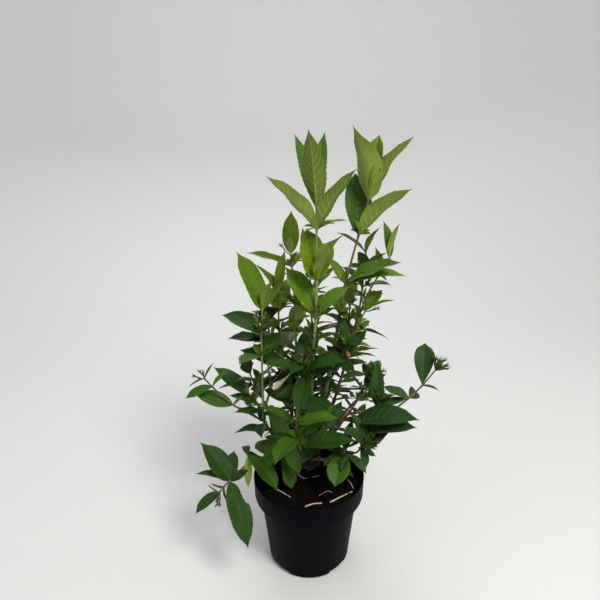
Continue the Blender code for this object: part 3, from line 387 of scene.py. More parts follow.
FORMS = {       # the outline's rise and fall, how much of the foot and of the tip narrows, its width
    "pointed": (0.90, 1.05, 0.08, 0.21, 1.0),
    "slim": (0.90, 1.10, 0.08, 0.22, 0.82),
    "long": (0.85, 1.10, 0.05, 0.20, 0.85),
    "drawn": (0.75, 1.25, 0.06, 0.26, 1.0),
    "broad": (0.78, 0.80, 0.05, 0.16, 1.0),
    "full": (0.85, 0.95, 0.06, 0.18, 1.28),
    "bitten": (0.85, 1.00, 0.05, 0.18, 1.05),
    "spoon": (1.30, 0.78, 0.10, 0.16, 0.88),
    "drop": (2.60, 0.80, 0.30, 0.14, 1.0),
}


# ---------------------------------------------------------------- paths and closed shapes

def smooth_way(guides, steps=3):
    """Points on a Catmull-Rom curve through the guide points."""
    ends = [guides[0] * 2 - guides[1]] + list(guides) + [guides[-1] * 2 - guides[-2]]
    points = []
    for a, b, c, d in zip(ends, ends[1:], ends[2:], ends[3:]):
        for i in range(steps):
            t = i / steps
            points.append(0.5 * (2 * b + (c - a) * t + (2 * a - 5 * b + 4 * c - d) * t ** 2
                                 + (3 * b - a - 3 * c + d) * t ** 3))
    return points + [guides[-1].copy()]


def spans_of(path):
    """The lengths between a path's points."""
    return [(b - a).length for a, b in zip(path, path[1:])]


def along(path, share):
    """The point and direction at a share of a path's length."""
    spans = spans_of(path)
    left = share * sum(spans)
    for a, b, span in zip(path, path[1:], spans):
        if left <= span:
            return a + (b - a) * (left / span), (b - a).normalized()
        left -= span
    return path[-1].copy(), (path[-1] - path[-2]).normalized()


def ring(centre, axis, across, radius, sides):
    """Points evenly round an axis, the first one straight across it."""
    return [centre + Matrix.Rotation(math.tau * k / sides, 3, axis) @ across * radius for k in range(sides)]


def tube_faces(rings, sides):
    """The faces of a tube of so many rings of points, with its foot's cap and its tip's cap last."""
    faces = []
    for i in range(rings - 1):
        for k in range(sides):
            a, b = i * sides + k, i * sides + (k + 1) % sides
            faces.append((a, b, b + sides, a + sides))
    return faces + [tuple(reversed(range(sides))), tuple(range((rings - 1) * sides, rings * sides))]


def tube(path, foot_radius, tip_radius, sides):
    """A tapering closed tube along a path, as points and faces."""
    headings = [(b - a).normalized() for a, b in zip(path, path[1:])]
    headings = [headings[0]] + [(a + b).normalized() for a, b in zip(headings, headings[1:])] + [headings[-1]]
    across = headings[0].orthogonal().normalized()
    points = []
    for i, (centre, heading) in enumerate(zip(path, headings)):
        across = (across - heading * across.dot(heading)).normalized()
        radius = foot_radius + (tip_radius - foot_radius) * i / (len(path) - 1)
        points += ring(centre, heading, across, radius, sides)
    return points, tube_faces(len(path), sides)


def spike(foot, tip, radius):
    """A slender three-sided point, as a calyx is in the solids."""
    axis = (tip - foot).normalized()
    across = axis.orthogonal().normalized() * radius
    return ring(foot, axis, across, 1.0, 3) + [tip], [(2, 1, 0), (0, 1, 3), (1, 2, 3), (2, 0, 3)]


def tree_of(shape):
    """A shape's clearance tree, of its faces split into triangles."""
    points, faces = shape
    return BVHTree.FromPolygons(points, [(f[0], f[i], f[i + 1]) for f in faces for i in range(1, len(f) - 1)])


def lean_to(heading):
    """The turn that takes the vertical to a stem's own way."""
    return UP.rotation_difference(heading).to_matrix()


# ---------------------------------------------------------------- leaves

@dataclass
class Leaf:
    """One leaf: where it leaves the stem, its first heading, its upper side and its sizes."""
    foot: Vector
    heading: Vector
    upper: Vector
    length: float
    width: float
    droop: float
    fold: float
    stations: tuple
    tone: str = "deep"
    form: str = "pointed"
    owner: str = ""

    def rib(self, share):
        """The midrib's point, heading and upper side at a share of the length."""
        steps = 8
        point, step = self.foot.copy(), self.length * share / steps
        across = self.heading.cross(self.upper)
        for i in range(steps):
            bend = Matrix.Rotation(-self.droop * share * (i + 0.5) / steps, 3, across)
            point += bend @ self.heading * step
        bend = Matrix.Rotation(-self.droop * share, 3, across)
        return point, bend @ self.heading, bend @ self.upper

    def shape(self, margin=0.0, blade_only=False):
        """The leaf as a thin closed body folded along its rib, optionally swollen by a margin."""
        thick = max(self.length * LEAF_THICKNESS, LEAF_LEAST_THICKNESS) / 2 + margin
        points, faces = [], []
        for share, wide in self.stations:
            middle, heading, upper = self.rib(share)
            across = heading.cross(upper)
            half = self.width / 2 * wide + margin
            edge_lift = upper * (half * math.sin(self.fold))
            edge_out = across * (half * math.cos(self.fold))
            points += [middle + edge_lift - edge_out, middle + upper * thick,
                       middle + edge_lift + edge_out, middle - upper * thick]
        for i in range(len(self.stations) - 1):
            for k in range(4):
                a, b = 4 * i + k, 4 * i + (k + 1) % 4
                faces += [(a, b, b + 4), (a, b + 4, a + 4)]
        if blade_only:
            faces += [(0, 3, 2, 1)]
        else:
            points.append(self.foot.copy())
            faces += [(len(points) - 1, (k + 1) % 4, k) for k in range(4)]
        last = 4 * (len(self.stations) - 1)
        points.append(self.rib(1.0)[0])
        faces += [(len(points) - 1, last + k, last + (k + 1) % 4) for k in range(4)]
        return points, faces


def leaf_at(foot, lean, plan, turn, length, droop, fold):
    """A leaf by its plan, on a stem that lean turns the vertical to."""
    turn, rise, roll, droop, fold = map(math.radians, (turn, plan.rise, plan.roll, droop, fold))
    lift = rise + droop / 2
    out = Vector((math.cos(turn), math.sin(turn), 0.0))
    heading = lean @ (out * math.cos(lift) + UP * math.sin(lift))
    upper = lean @ (UP * math.cos(lift) - out * math.sin(lift))
    upper.rotate(Matrix.Rotation(roll, 3, heading))
    return Leaf(foot, heading, upper, length * MM, length * MM * plan.slim, droop, fold, plan.stations)


# ---------------------------------------------------------------- growth, as in the solids

class Shrub:
    """Everything grown so far, with a clearance tree for each piece and a list of each kind."""

    def __init__(self, fixed):
        self.trees = [("", tree) for tree in fixed]
        self.paths = {}
        self.radii = {}
        self.leaves = []
        self.shoots = []
        self.calyces = []

    def keep(self, owner, shape):
        """Keep a shape that later growth has to stay clear of."""
        self.trees.append((owner, tree_of(shape)))

    def clear_of(self, shape, skip=()):
        """Whether a shape touches nothing kept so far but what the skipped owners have."""
        tree = tree_of(shape)
        return not any(owner not in skip and tree.overlap(other) for owner, other in self.trees)


def node_tree(name):
    """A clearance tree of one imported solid."""
    mesh = frame["nodes"][name].data
    mesh.calc_loop_triangles()
    corners = [v.co.copy() for v in mesh.vertices]
    return BVHTree.FromPolygons(corners, [tuple(t.vertices) for t in mesh.loop_triangles])


def crown_foot(way):
    """Where a limb's stub leaves the root crown: on a ring, towards the way it goes."""
    towards = mm(*way[0]) - CROWN_CENTRE
    flat = Vector((towards.x, towards.y, 0.0))
    share = min(flat.length / STUB_RING_REACH, 1.0)
    ring_radius = CROWN_NECK * (STUB_RING_INNER + (1 - STUB_RING_INNER) * share)
    return CROWN_CENTRE + flat.normalized() * ring_radius + UP * CROWN_HEIGHT * STUB_ROOT_HEIGHT


def limb_path(limb, shrub):
    """The limb's whole way, from inside the root crown or from beside the limb that it forks off."""
    if limb.on is None:
        foot = crown_foot(limb.way)
    else:
        foot = beside(shrub, limb.on, limb.at, mm(*limb.way[0]), limb.thick[0] * MM)
    return smooth_way([foot] + [mm(*place) for place in limb.way])


def beside(shrub, limb_name, share, goal, radius):
    """The foot of a side shoot: off the limb's surface towards its goal, just clear of it."""
    centre, axis = along(shrub.paths[limb_name], share)
    heading = (goal - centre).normalized()
    off_axis = math.sqrt(max(1.0 - heading.dot(axis) ** 2, 0.05))
    limb_radius = shrub.radii[limb_name](share)
    return centre + heading * ((limb_radius + GAP + radius * abs(heading.dot(axis))) / off_axis)


def grow_limbs(shrub):
    """Each limb's way above its stub, kept for the clearance tests; the whole ways are returned."""
    whole = {}
    for limb in LIMBS:
        path = limb_path(limb, shrub)
        whole[limb.name] = path
        foot, tip = (value * MM for value in limb.thick)
        shrub.radii[limb.name] = lambda share, foot=foot, tip=tip: foot + (tip - foot) * share
        if limb.on is None:
            path = above_stub(path)
        shrub.paths[limb.name] = path
        shrub.keep(limb.name, tube(path, foot, tip, LIMB_SIDES))
    return whole


def above_stub(path):
    """A limb's path from a clear gap above the root crown's stub."""
    total = sum(spans_of(path))
    cut, heading = along(path, STUB_LENGTH / total)
    rest = [p for p in path if (p - cut).dot(heading) > STUB_CLEAR and p.z > cut.z - STUB_DIP]
    return [cut + heading * GAP] + rest


def grow_spray_stem(spray, shrub):
    """A spray's own stem: straight on from its limb's tip, or off the limb's side."""
    guides = [mm(*place) for place in spray.way]
    if spray.at == 1.0:
        tip, heading = along(shrub.paths[spray.limb], 1.0)
        foot = [tip + heading * GAP, tip + heading * SPRAY_LEAD_IN]
    else:
        foot = [beside(shrub, spray.limb, spray.at, guides[0], SPRAY_FOOT_RADIUS)]
    shrub.paths[spray.name] = foot[:-1] + smooth_way(foot[-1:] + guides, steps=2)
    shrub.keep(spray.name, tube(shrub.paths[spray.name], SPRAY_FOOT_RADIUS, SPRAY_TIP_RADIUS, STEM_SIDES))


def place_leads(spray, shrub):
    """The spray's leaves set one by one, placed before the rest so that they keep their places."""
    for (node, _), lead in spray.lead.items():
        point, _ = along(shrub.paths[spray.name], min(spray.nodes[node], LAST_NODE))
        place_leaf(spray.name, shrub, point, UP, lead)


def grow_spray(spray, shrub, dice):
    """The rest of a spray's leaves, its twigs and its calyces; what would touch is left out."""
    path = shrub.paths[spray.name]
    for k, share in enumerate(spray.nodes):
        point, heading = along(path, min(share, LAST_NODE))
        turn = spray.turn + 90 * k + dice.uniform(-PAIR_TURN, PAIR_TURN)
        for side in (0, 1):
            plan = leaf_plan(spray, k / (len(spray.nodes) - 1), turn + 180 * side, dice)
            if (k, side) not in spray.lead:
                place_leaf(spray.name, shrub, point, heading, plan)
        if k < spray.twigs:
            grow_twig(spray.name, shrub, dice, point, heading, turn + 45 + 90 * dice.randrange(4))
    grow_calyces(spray.name, shrub, dice, path, spray.calyx)


def leaf_plan(spray, grown, turn, dice):
    """A rule-made leaf's sizes: between the spray's values at its foot and tip, a little uneven."""
    length, rise, slim = (foot + (tip - foot) * grown for foot, tip in (spray.leaf, spray.rise, spray.slim))
    return Lead(length * dice.uniform(*LENGTH_SPREAD), turn + dice.uniform(-LEAF_TURN, LEAF_TURN),
                rise + dice.uniform(-LEAF_TILT, LEAF_TILT), dice.uniform(-LEAF_ROLL, LEAF_ROLL),
                slim * dice.uniform(*SLIM_SPREAD), form="slim" if spray.piece == "inner" else "pointed",
                stations=LEAF_STATIONS)


TONE_OF = {carrier.name: carrier.tone for carrier in (*LIMBS, *SPRAYS)}


def place_leaf(owner, shrub, point, heading, plan):
    """Keep the first of a few slightly turned and shortened leaves that stays clear, if any."""
    lean = lean_to(heading)
    uneven = random.Random(round(plan.length * 7 + plan.turn * 3 + plan.rise))
    droop, fold = uneven.uniform(*LEAF_DROOP), uneven.uniform(*LEAF_FOLD)
    for tries, extra in enumerate(TURN_TRIES):
        length = plan.length * (1 - 0.02 * tries)
        leaf = leaf_at(point, lean, plan, plan.turn + extra, length, droop, fold)
        if not CROWN_LOW < leaf.rib(1.0)[0].z < CROWN_HIGH:
            continue
        if not shrub.clear_of(leaf.shape(CLEAR_MARGIN, blade_only=True)):
            continue
        if shrub.clear_of(leaf.shape(CLEAR_MARGIN), skip=(owner,)):
            shrub.keep(owner, leaf.shape())
            leaf.tone, leaf.form, leaf.owner = plan.tone or TONE_OF[owner], plan.form, owner
            shrub.leaves.append(leaf)
            return


def grow_twig(owner, shrub, dice, point, heading, turn):
    """A short side twig with two small leaf pairs."""
    lean = lean_to(heading)
    length = dice.uniform(*TWIG_LENGTH) * MM
    turn = math.radians(turn)
    out = lean @ Vector((math.cos(turn), math.sin(turn), 0.9)).normalized()
    path = [point, point + out * length * 0.5, point + (out + UP * 0.12).normalized() * length]
    swollen = tube(path[1:], SPRAY_TIP_RADIUS + CLEAR_MARGIN, SPRAY_TIP_RADIUS + CLEAR_MARGIN, STEM_SIDES)
    if not shrub.clear_of(swollen):
        return
    shrub.keep(owner, tube(path, SPRAY_TIP_RADIUS, SPRAY_TIP_RADIUS * 0.8, STEM_SIDES))
    shrub.shoots.append((path, SPRAY_TIP_RADIUS, SPRAY_TIP_RADIUS * 0.8, TWIG_NODES))
    for k, share in enumerate(TWIG_NODES):
        foot, way = along(path, share)
        for side in (0, 1):
            plan = Lead(dice.uniform(*TWIG_LEAF), 40 + 90 * k + 180 * side, 30, 0, 0.42,
                        stations=LEAF_STATIONS)
            place_leaf(owner, shrub, foot, way, plan)


def in_box(point):
    """Whether a point lies within the box of all the solids."""
    return all(low <= c <= high for low, c, high in zip(cad_box[0], point, cad_box[1]))


def grow_calyces(owner, shrub, dice, path, count, at=CALYX_NODE, among=()):
    """The slim calyces left on a shoot after flowering, clear of all but the owners named in among."""
    foot, heading = along(path, at)
    lean = lean_to(heading)
    for k in range(count):
        turn = math.tau * k / count + dice.uniform(-0.3, 0.3)
        spread = dice.uniform(*CALYX_SPREAD)
        out = lean @ Vector((math.cos(turn) * spread, math.sin(turn) * spread, 1.0)).normalized()
        tip = foot + out * dice.uniform(*CALYX_LENGTH) * MM
        swollen = spike(foot + out * 3 * CALYX_RADIUS, tip + out * CLEAR_MARGIN, CALYX_RADIUS + CLEAR_MARGIN)
        if shrub.clear_of(swollen, among) and (not among or in_box(foot + (tip - foot) * 1.1)):
            shrub.keep(owner, spike(foot, tip, CALYX_RADIUS))
            shrub.calyces.append((foot, tip))


# ---------------------------------------------------------------- finer growth

AXIL_LEAF = (13, 26)            # lengths of the small leaves in the leaf axils
AXIL_TWIG = (5, 11)
AXIL_TURN = 25
AXIL_RISE = (15, 45)
AXIL_ROLL = 20
AXIL_SLIM = (0.34, 0.44)
BARE_AXILS = ("leaves_far_left", "leaves_right_end", "leaves_left_low", "leaves_rim_left")
LIMB_LEAF = (36, 68)            # lengths of the leaves that stand along the limbs
LIMB_TURN = 20
LIMB_RISE = (-5, 35)
LIMB_ROLL = 24
LIMB_SLIM = (0.34, 0.46)
LIMB_NODE_STEP = 0.022
LEAFY_LIMBS = {                 # the limbs whose leaves still stand along them, and from what share
    "stem_centre": 0.22, "stem_inner": 0.20, "stem_back": 0.2, "stem_back_left": 0.2,
    "stem_back_right": 0.2, "stem_right_back": 0.3, "branch_back_low_left": 0.35,
    "branch_back_low": 0.35, "branch_back_low_right": 0.35, "branch_front": 0.6,
    "stem_right": 0.35, "branch_over_soil": 0.5, "stem_left": 0.45, "branch_right": 0.45,
}
LATE_CALYCES = {                # further spent flower clusters: how many, at a share of a spray's stem
    ("leaves_inner_middle", 0.97): 12, ("leaves_inner_back", 0.97): 10, ("leaves_inner_left", 0.97): 8,
    ("leaves_inner_right", 0.97): 9, ("leaves_inner_low", 0.97): 7, ("leaves_front", 0.97): 8,
    ("leaves_right_middle", 0.97): 6, ("leaves_left_dark", 0.97): 9, ("leaves_left_top", 0.80): 14,
    ("leaves_centre_left", 0.55): 14, ("leaves_centre_left", 0.34): 8, ("leaves_back", 0.97): 6,
    ("leaves_back_right", 0.97): 6, ("leaves_back_left", 0.97): 6, ("leaves_right_end", 0.97): 18,
    ("leaves_right_upper", 0.97): 12, ("leaves_right_upright", 0.97): 10, ("leaves_right_low", 0.97): 12,
    ("leaves_left_mid", 0.97): 6, ("leaves_left_low", 0.97): 6, ("leaves_centre_top", 0.12): 8,
    ("leaves_left_top", 0.86): 8, ("leaves_inner_right", 0.4): 6, ("leaves_inner_back", 0.5): 6,
}


def grow_axils(shrub, dice):
    """Small leaf pairs on a short twig in each axil of a spray but the bare ones, up to its last node but
    one.
    """
    for spray in SPRAYS:
        if spray.name in BARE_AXILS:
            continue
        path = shrub.paths[spray.name]
        for k, share in enumerate(spray.nodes[:-1]):
            point, heading = along(path, share)
            for side in (0, 1):
                turn = math.radians(spray.turn + 90 * k + 180 * side + dice.uniform(-AXIL_TURN, AXIL_TURN))
                grow_axil(spray.name, shrub, dice, point, heading, turn)


def grow_axil(owner, shrub, dice, point, heading, turn):
    """One twig in a leaf's axil, with two pairs of small leaves."""
    lean = lean_to(heading)
    out = lean @ Vector((math.cos(turn), math.sin(turn), dice.uniform(0.9, 1.5))).normalized()
    length = dice.uniform(*AXIL_TWIG) * MM
    path = [point, point + out * length * 0.5, point + out * length]
    shrub.shoots.append((path, SPRAY_TIP_RADIUS * 0.7, SPRAY_TIP_RADIUS * 0.45, (0.9,)))
    for k, share in enumerate((0.6, 0.95)):
        foot, way = along(path, share)
        for side in (0, 1):
            size = dice.uniform(*AXIL_LEAF)
            plan = Lead(size, math.degrees(turn) + 50 + 90 * k + 180 * side, dice.uniform(*AXIL_RISE),
                        dice.uniform(-AXIL_ROLL, AXIL_ROLL), dice.uniform(*AXIL_SLIM), stations=LEAF_STATIONS)
            place_leaf(owner, shrub, foot, way, plan)


def grow_limb_leaves(shrub, dice):
    """Leaf pairs along the leafy limbs, each pair a quarter on from the last."""
    for name, start in LEAFY_LIMBS.items():
        path = shrub.paths[name]
        total = sum(spans_of(path))
        steps = int(total * (1 - start) / LIMB_NODE_STEP)
        for k in range(steps):
            share = start + (1 - start) * (k + 0.5) / steps
            point, heading = along(path, share)
            turn = 90 * k + dice.uniform(-LIMB_TURN, LIMB_TURN)
            for side in (0, 1):
                plan = Lead(dice.uniform(*LIMB_LEAF), turn + 180 * side, dice.uniform(*LIMB_RISE),
                            dice.uniform(-LIMB_ROLL, LIMB_ROLL), dice.uniform(*LIMB_SLIM),
                            form="slim", stations=LEAF_STATIONS)
                place_leaf(name, shrub, point, heading, plan)


def grow():
    """The whole shrub: the solids' own growth, then the finer growth in the room that is left."""
    shrub = Shrub([node_tree(name) for name in ("pot", "soil", "root_crown")])
    whole = grow_limbs(shrub)
    for spray in SPRAYS:
        grow_spray_stem(spray, shrub)
    for spray in SPRAYS:
        place_leads(spray, shrub)
    dice = random.Random(SEED)
    for spray in SPRAYS:
        grow_spray(spray, shrub, dice)
    fine = random.Random(FINE_SEED)
    for (name, share), count in LATE_CALYCES.items():
        grow_calyces(name, shrub, fine, shrub.paths[name], count, share, (name,))
    grow_limb_leaves(shrub, fine)
    grow_axils(shrub, fine)
    return shrub, whole


# ---------------------------------------------------------------- joined meshes

class Bag:
    """Points and faces of many small things, joined into one mesh with a finish for each face."""

    def __init__(self):
        self.points, self.faces, self.finishes, self.count = [], [], [], 0

    def add(self, points, faces, finish):
        """faces index these points; finish is one material for all or a list with one for each."""
        self.points.append(np.asarray(points, dtype=float).reshape(-1, 3))
        self.faces += [tuple(i + self.count for i in face) for face in faces]
        self.finishes += finish if isinstance(finish, list) else [finish] * len(faces)
        self.count += len(points)

    def make(self, name, sharp=40):
        """The joined mesh, smooth but for the edges sharper than this angle."""
        mesh = bpy.data.meshes.new(name)
        mesh.from_pydata(np.concatenate(self.points).tolist(), [], self.faces)
        used = list(dict.fromkeys(self.finishes))
        for finish in used:
            mesh.materials.append(finish)
        place = {finish: i for i, finish in enumerate(used)}
        mesh.polygons.foreach_set("material_index", [place[finish] for finish in self.finishes])
        mesh.polygons.foreach_set("use_smooth", [True] * len(self.faces))
        mesh.update()
        mesh.set_sharp_from_angle(angle=math.radians(sharp))
        piece = bpy.data.objects.new(name, mesh)
        bpy.context.scene.collection.objects.link(piece)
        return piece


def lone_piece(name, points, faces, finish, sharp=40):
    """One closed body as a mesh of its own."""
    bag = Bag()
    bag.add(points, faces, finish)
    return bag.make(name, sharp)


def finish_piece(piece, replaced=()):
    """Every piece rides on the one body, and the solids that it replaces are hidden."""
    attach(piece, "root")
    if replaced:
        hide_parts(*replaced)


# ---------------------------------------------------------------- leaf blades

VEIN_SHARE = 0.0048         # half the width of a side vein, as a share of the leaf's length
MIDRIB_SHARE = 0.0085
BLADE_THICKNESS = 0.00034
PETIOLE_THICKNESS = 0.0013
QUILT = 0.0130              # how far the panels between veins stand up, as a share of the length
TOOTH = 0.0100
SWEEP = 0.17                # how far the side veins run forward on their way to the margin
COLUMNS = (0.0, 0.36, 0.74, 1.0)     # where a half blade's points stand, from the midrib to the margin
VEIN_TAPER = 0.6
MIDRIB_MOST = 0.0011
MIDRIB_RIDGE = 0.004
TOOTH_BREADTH, TOOTH_PLACE = 0.42, 0.72     # its reach over the margin between two veins, and its place there
BITE_AT, BITE_REACH, BITE_DEPTH = 0.27, 0.12, 0.34
VEIN_PAIRS = ((0.085, 9), (0.05, 7), (0.03, 5), (0.0, 4))       # by the least length of a leaf
UPPER, UPPER_VEIN, UNDER, UNDER_VEIN = range(4)


def outline(share, form):
    """Half the blade's width at a share of its length, as a part of its greatest half width."""
    rise, fall, foot, tip, wide = FORMS[form]
    peak = rise / (rise + fall)
    body = share ** rise * (1 - share) ** fall / (peak ** rise * (1 - peak) ** fall)
    return wide * body * np.clip(share / foot, 0.0, 1.0) ** 0.5 * np.clip((1 - share) / tip, 0.0, 1.0) ** 0.65


def vein_rows(pairs):
    """The rows across a blade: its share of the length, offset by half a vein, and kind of each."""
    rows = [(0.012, 0, 0.0), (0.05, 0, 0.3)]
    first, last = 0.10, 0.86
    for k in range(pairs):
        place = first + (last - first) * k / (pairs - 1)
        rows += [(place, -1, 0.0), (place, 1, 0.0)]
        if k < pairs - 1:
            rows.append((place + (last - first) * 0.5 / (pairs - 1), 0, 1.0))
    return rows + [(0.93, 0, 0.4), (0.975, 0, 0.0)]


@lru_cache
def blade_plan(pairs):
    """The rows and faces of a blade with this many vein pairs, and each face's slot on a leaf."""
    rows = vein_rows(pairs)
    wide = 2 * len(COLUMNS)
    layer = len(rows) * wide
    tip = 2 * layer
    faces, slots = [], []
    for i in range(len(rows) - 1):
        vein_row = rows[i][1] == -1
        for j in range(wide - 1):
            a, b = i * wide + j, i * wide + j + 1
            vein = j == len(COLUMNS) - 1 or (vein_row and 0 < j < wide - 2)
            faces += [(a, b, b + wide, a + wide)]
            faces += [(b + layer, a + layer, a + wide + layer, b + wide + layer)]
            slots += [UPPER_VEIN, UNDER_VEIN] if vein else [UPPER, UNDER]
    last = (len(rows) - 1) * wide
    for j in range(wide - 1):
        faces += [(last + j, last + j + 1, tip), (last + j + 1 + layer, last + j + layer, tip)]
        slots += [UPPER, UNDER]
    faces += [(last + layer, last, tip), (last + wide - 1, last + wide - 1 + layer, tip)]
    faces += [tuple(reversed(range(wide))) + tuple(range(layer, layer + wide))]
    slots += [UPPER, UPPER, UNDER_VEIN]
    tooth = tip + 1
    for side in (0, wide - 1):
        for i in range(len(rows) - 1):
            a, b = i * wide + side, (i + 1) * wide + side
            if side:
                a, b = b, a
            faces += [(a, b, tooth), (b + layer, a + layer, tooth), (a + layer, a, tooth),
                      (b, b + layer, tooth)]
            slots += [UPPER, UNDER, UPPER, UPPER]
            tooth += 1
    return rows, faces, slots


def blade_points(leaf, pairs, wave):
    """Where a blade's points lie: two layers of rows by columns, the tip, and the margin's teeth."""
    rows = blade_plan(pairs)[0]
    length, half = leaf.length, leaf.width / 2
    heading, upper = np.array(leaf.heading), np.array(leaf.upper)
    across = np.cross(heading, upper)
    place = np.array([row[0] for row in rows])[:, None]
    vein_side = np.array([row[1] for row in rows])[:, None]
    bulge = np.array([row[2] for row in rows])[:, None]
    q = np.array([*reversed(COLUMNS), *COLUMNS])[None, :]
    side = np.array([-1.0] * len(COLUMNS) + [1.0] * len(COLUMNS))[None, :]
    share = place + vein_side * VEIN_SHARE * (1 - VEIN_TAPER * q)

    def rib(u):
        turn = leaf.droop * u[..., None]
        bow = max(leaf.droop, 1e-4)
        point = np.array(leaf.foot) + length / bow * (np.sin(turn) * heading - (1 - np.cos(turn)) * upper)
        return point, np.cos(turn) * upper + np.sin(turn) * heading

    def surface(u, edge_u, q, side):
        margin = half * outline(edge_u, leaf.form)
        if leaf.form == "bitten":
            margin = margin * (1 - BITE_DEPTH * np.exp(-((edge_u - BITE_AT) / BITE_REACH) ** 6) * (side < 0))
        core = np.minimum(length * MIDRIB_SHARE * (1.05 - edge_u), MIDRIB_MOST)
        far = core + np.maximum(margin - core * 0.4, 0.0) * q
        middle, normal = rib(u)
        ripple = wave[0] * half * q ** 2 * np.sin(wave[1] * u + wave[2] + side * wave[3])
        rise = far * math.sin(leaf.fold) + ripple * outline(edge_u, leaf.form)
        out = side * far * math.cos(leaf.fold)
        face = normal * math.cos(leaf.fold) - (side * math.sin(leaf.fold))[..., None] * across
        return middle + rise[..., None] * normal + out[..., None] * across, face

    forward = SWEEP * 4 * share * (1 - share)
    edge_u = np.clip(share + forward, 0.0, 0.995)
    u = share + (edge_u - share) * q ** 1.3
    sheet, face = surface(u, edge_u, q, side + 0 * u)
    quilt = length * QUILT * bulge * (4 * q * (1 - q) * 0.75 + 0.25 * q)
    thick = BLADE_THICKNESS + PETIOLE_THICKNESS * np.exp(-(u / 0.05) ** 2)
    ridge = (q == 0) * length * MIDRIB_RIDGE * (1.1 - share)
    top = sheet + (quilt + thick / 2 - ridge * 0.3)[..., None] * face
    bottom = sheet + (quilt - thick / 2 - ridge)[..., None] * face
    tip = rib(np.array([1.0]))[0]
    teeth = []
    for edge in (0, 2 * len(COLUMNS) - 1):
        start, end = (top[:-1, edge] + bottom[:-1, edge]) / 2, (top[1:, edge] + bottom[1:, edge]) / 2
        run = end - start
        out = across * (1.0 if edge else -1.0)
        reach = np.minimum(np.linalg.norm(run, axis=1) * TOOTH_BREADTH, length * TOOTH)
        reach *= np.clip(edge_u[:-1, edge] * 8, 0, 1) * np.clip((1 - edge_u[1:, edge]) * 9, 0.15, 1)
        teeth.append(start + run * TOOTH_PLACE + out * reach[:, None] * math.cos(leaf.fold))
    return np.concatenate([top.reshape(-1, 3), bottom.reshape(-1, 3), tip, *teeth])


def add_blade(bag, leaf, dice, finishes):
    """One leaf's blade; finishes are its upper side, upper veins, under side and under veins."""
    pairs = next(count for least, count in VEIN_PAIRS if leaf.length > least)
    wave = (dice.uniform(0.03, 0.13), dice.uniform(7, 15), dice.uniform(0, 6.3), dice.uniform(0, 1.5))
    points = blade_points(leaf, pairs, wave)
    _, faces, slots = blade_plan(pairs)
    bag.add(points, faces, [finishes[s] for s in slots])


# ---------------------------------------------------------------- stems

RING_STEP = 0.0028
NODE_SWELL, NODE_REACH = 0.38, 0.0032
STEM_FLARE = 1.04               # the bark's foot radius over the solid's
BARK_NODES = (0.30, 0.44, 0.58, 0.72, 0.86)
KNOB_RINGS, KNOB_SIDES = 14, 72
KNOB_INSET, KNOB_TOP_INSET = 0.985, 0.93        # its radius over the solid's
KNOB_ROUGHNESS = 0.05


def frames_along(path, step):
    """Points every step along a path, with two directions across it there."""
    total = sum(spans_of(path))
    count = max(int(total / step), 3)
    across = (path[1] - path[0]).normalized().orthogonal().normalized()
    for i in range(count + 1):
        point, heading = along(path, i / count)
        across = (across - heading * across.dot(heading)).normalized()
        yield i / count, i / count * total, point, across, heading.cross(across)


def add_stem(bag, path, foot, tip, sides, skins, nodes, rough, changes=()):
    """A tapering stem with furrowed bark, swollen where its leaf pairs stand.

    It goes from each of its skins to the next at the shares in changes.
    """
    nodes = [share * sum(spans_of(path)) for share in nodes]
    fine = smooth_way(path)
    rings, finishes = [], []
    phase = path[0].x * 900 + path[0].y * 500
    for share, run, point, one, two in frames_along(fine, RING_STEP):
        radius = foot + (tip - foot) * share
        swell = sum(NODE_SWELL * math.exp(-((run - node) / NODE_REACH) ** 2) for node in nodes)
        for k in range(sides):
            turn = math.tau * k / sides
            furrow = math.sin(5 * turn + phase + run * 90) * 0.5 + math.sin(9 * turn - run * 140) * 0.5
            knob = noise.noise(Vector((math.cos(turn), math.sin(turn), run * 260 + phase)))
            r = radius * (1 + swell + rough * furrow + rough * 1.6 * knob)
            rings.append(point + (one * math.cos(turn) + two * math.sin(turn)) * r)
        finishes.append(skins[sum(share > change for change in changes)])
    count = len(finishes)
    rings.append(fine[-1] + (fine[-1] - fine[-2]).normalized() * tip * 0.6)
    last = (count - 1) * sides
    faces = tube_faces(count, sides)[:-1]
    faces += [(last + k, last + (k + 1) % sides, count * sides) for k in range(sides)]
    face_finishes = [finish for finish in finishes[:-1] for _ in range(sides)]
    bag.add(rings, faces, face_finishes + [finishes[0]] + [finishes[-1]] * sides)


def add_root_crown(bag, finish):
    """The stool: a lobed, furrowed knob that the stems rise from."""
    points = []
    for i in range(KNOB_RINGS + 1):
        share = i / KNOB_RINGS
        height = share * CROWN_HEIGHT
        flare = CROWN_NECK + (CROWN_RADIUS - CROWN_NECK) * (1 - share) ** 1.6
        inset = KNOB_TOP_INSET if i == KNOB_RINGS else KNOB_INSET
        for k in range(KNOB_SIDES):
            turn = math.tau * k / KNOB_SIDES
            lobe = 1 + CROWN_LOBE * (1 - share) * math.cos(LOBE_COUNT * turn + 0.6)
            rough = noise.fractal(Vector((math.cos(turn) * 3, math.sin(turn) * 3, share * 2)), 0.6, 2.1, 4)
            r = flare * lobe * (1 + KNOB_ROUGHNESS * rough) * inset
            points.append((CROWN_CENTRE.x + r * math.cos(turn), CROWN_CENTRE.y + r * math.sin(turn),
                           CROWN_CENTRE.z + height * 0.97))
    bag.add(points, tube_faces(KNOB_RINGS + 1, KNOB_SIDES), finish)


# ---------------------------------------------------------------- spent flowers

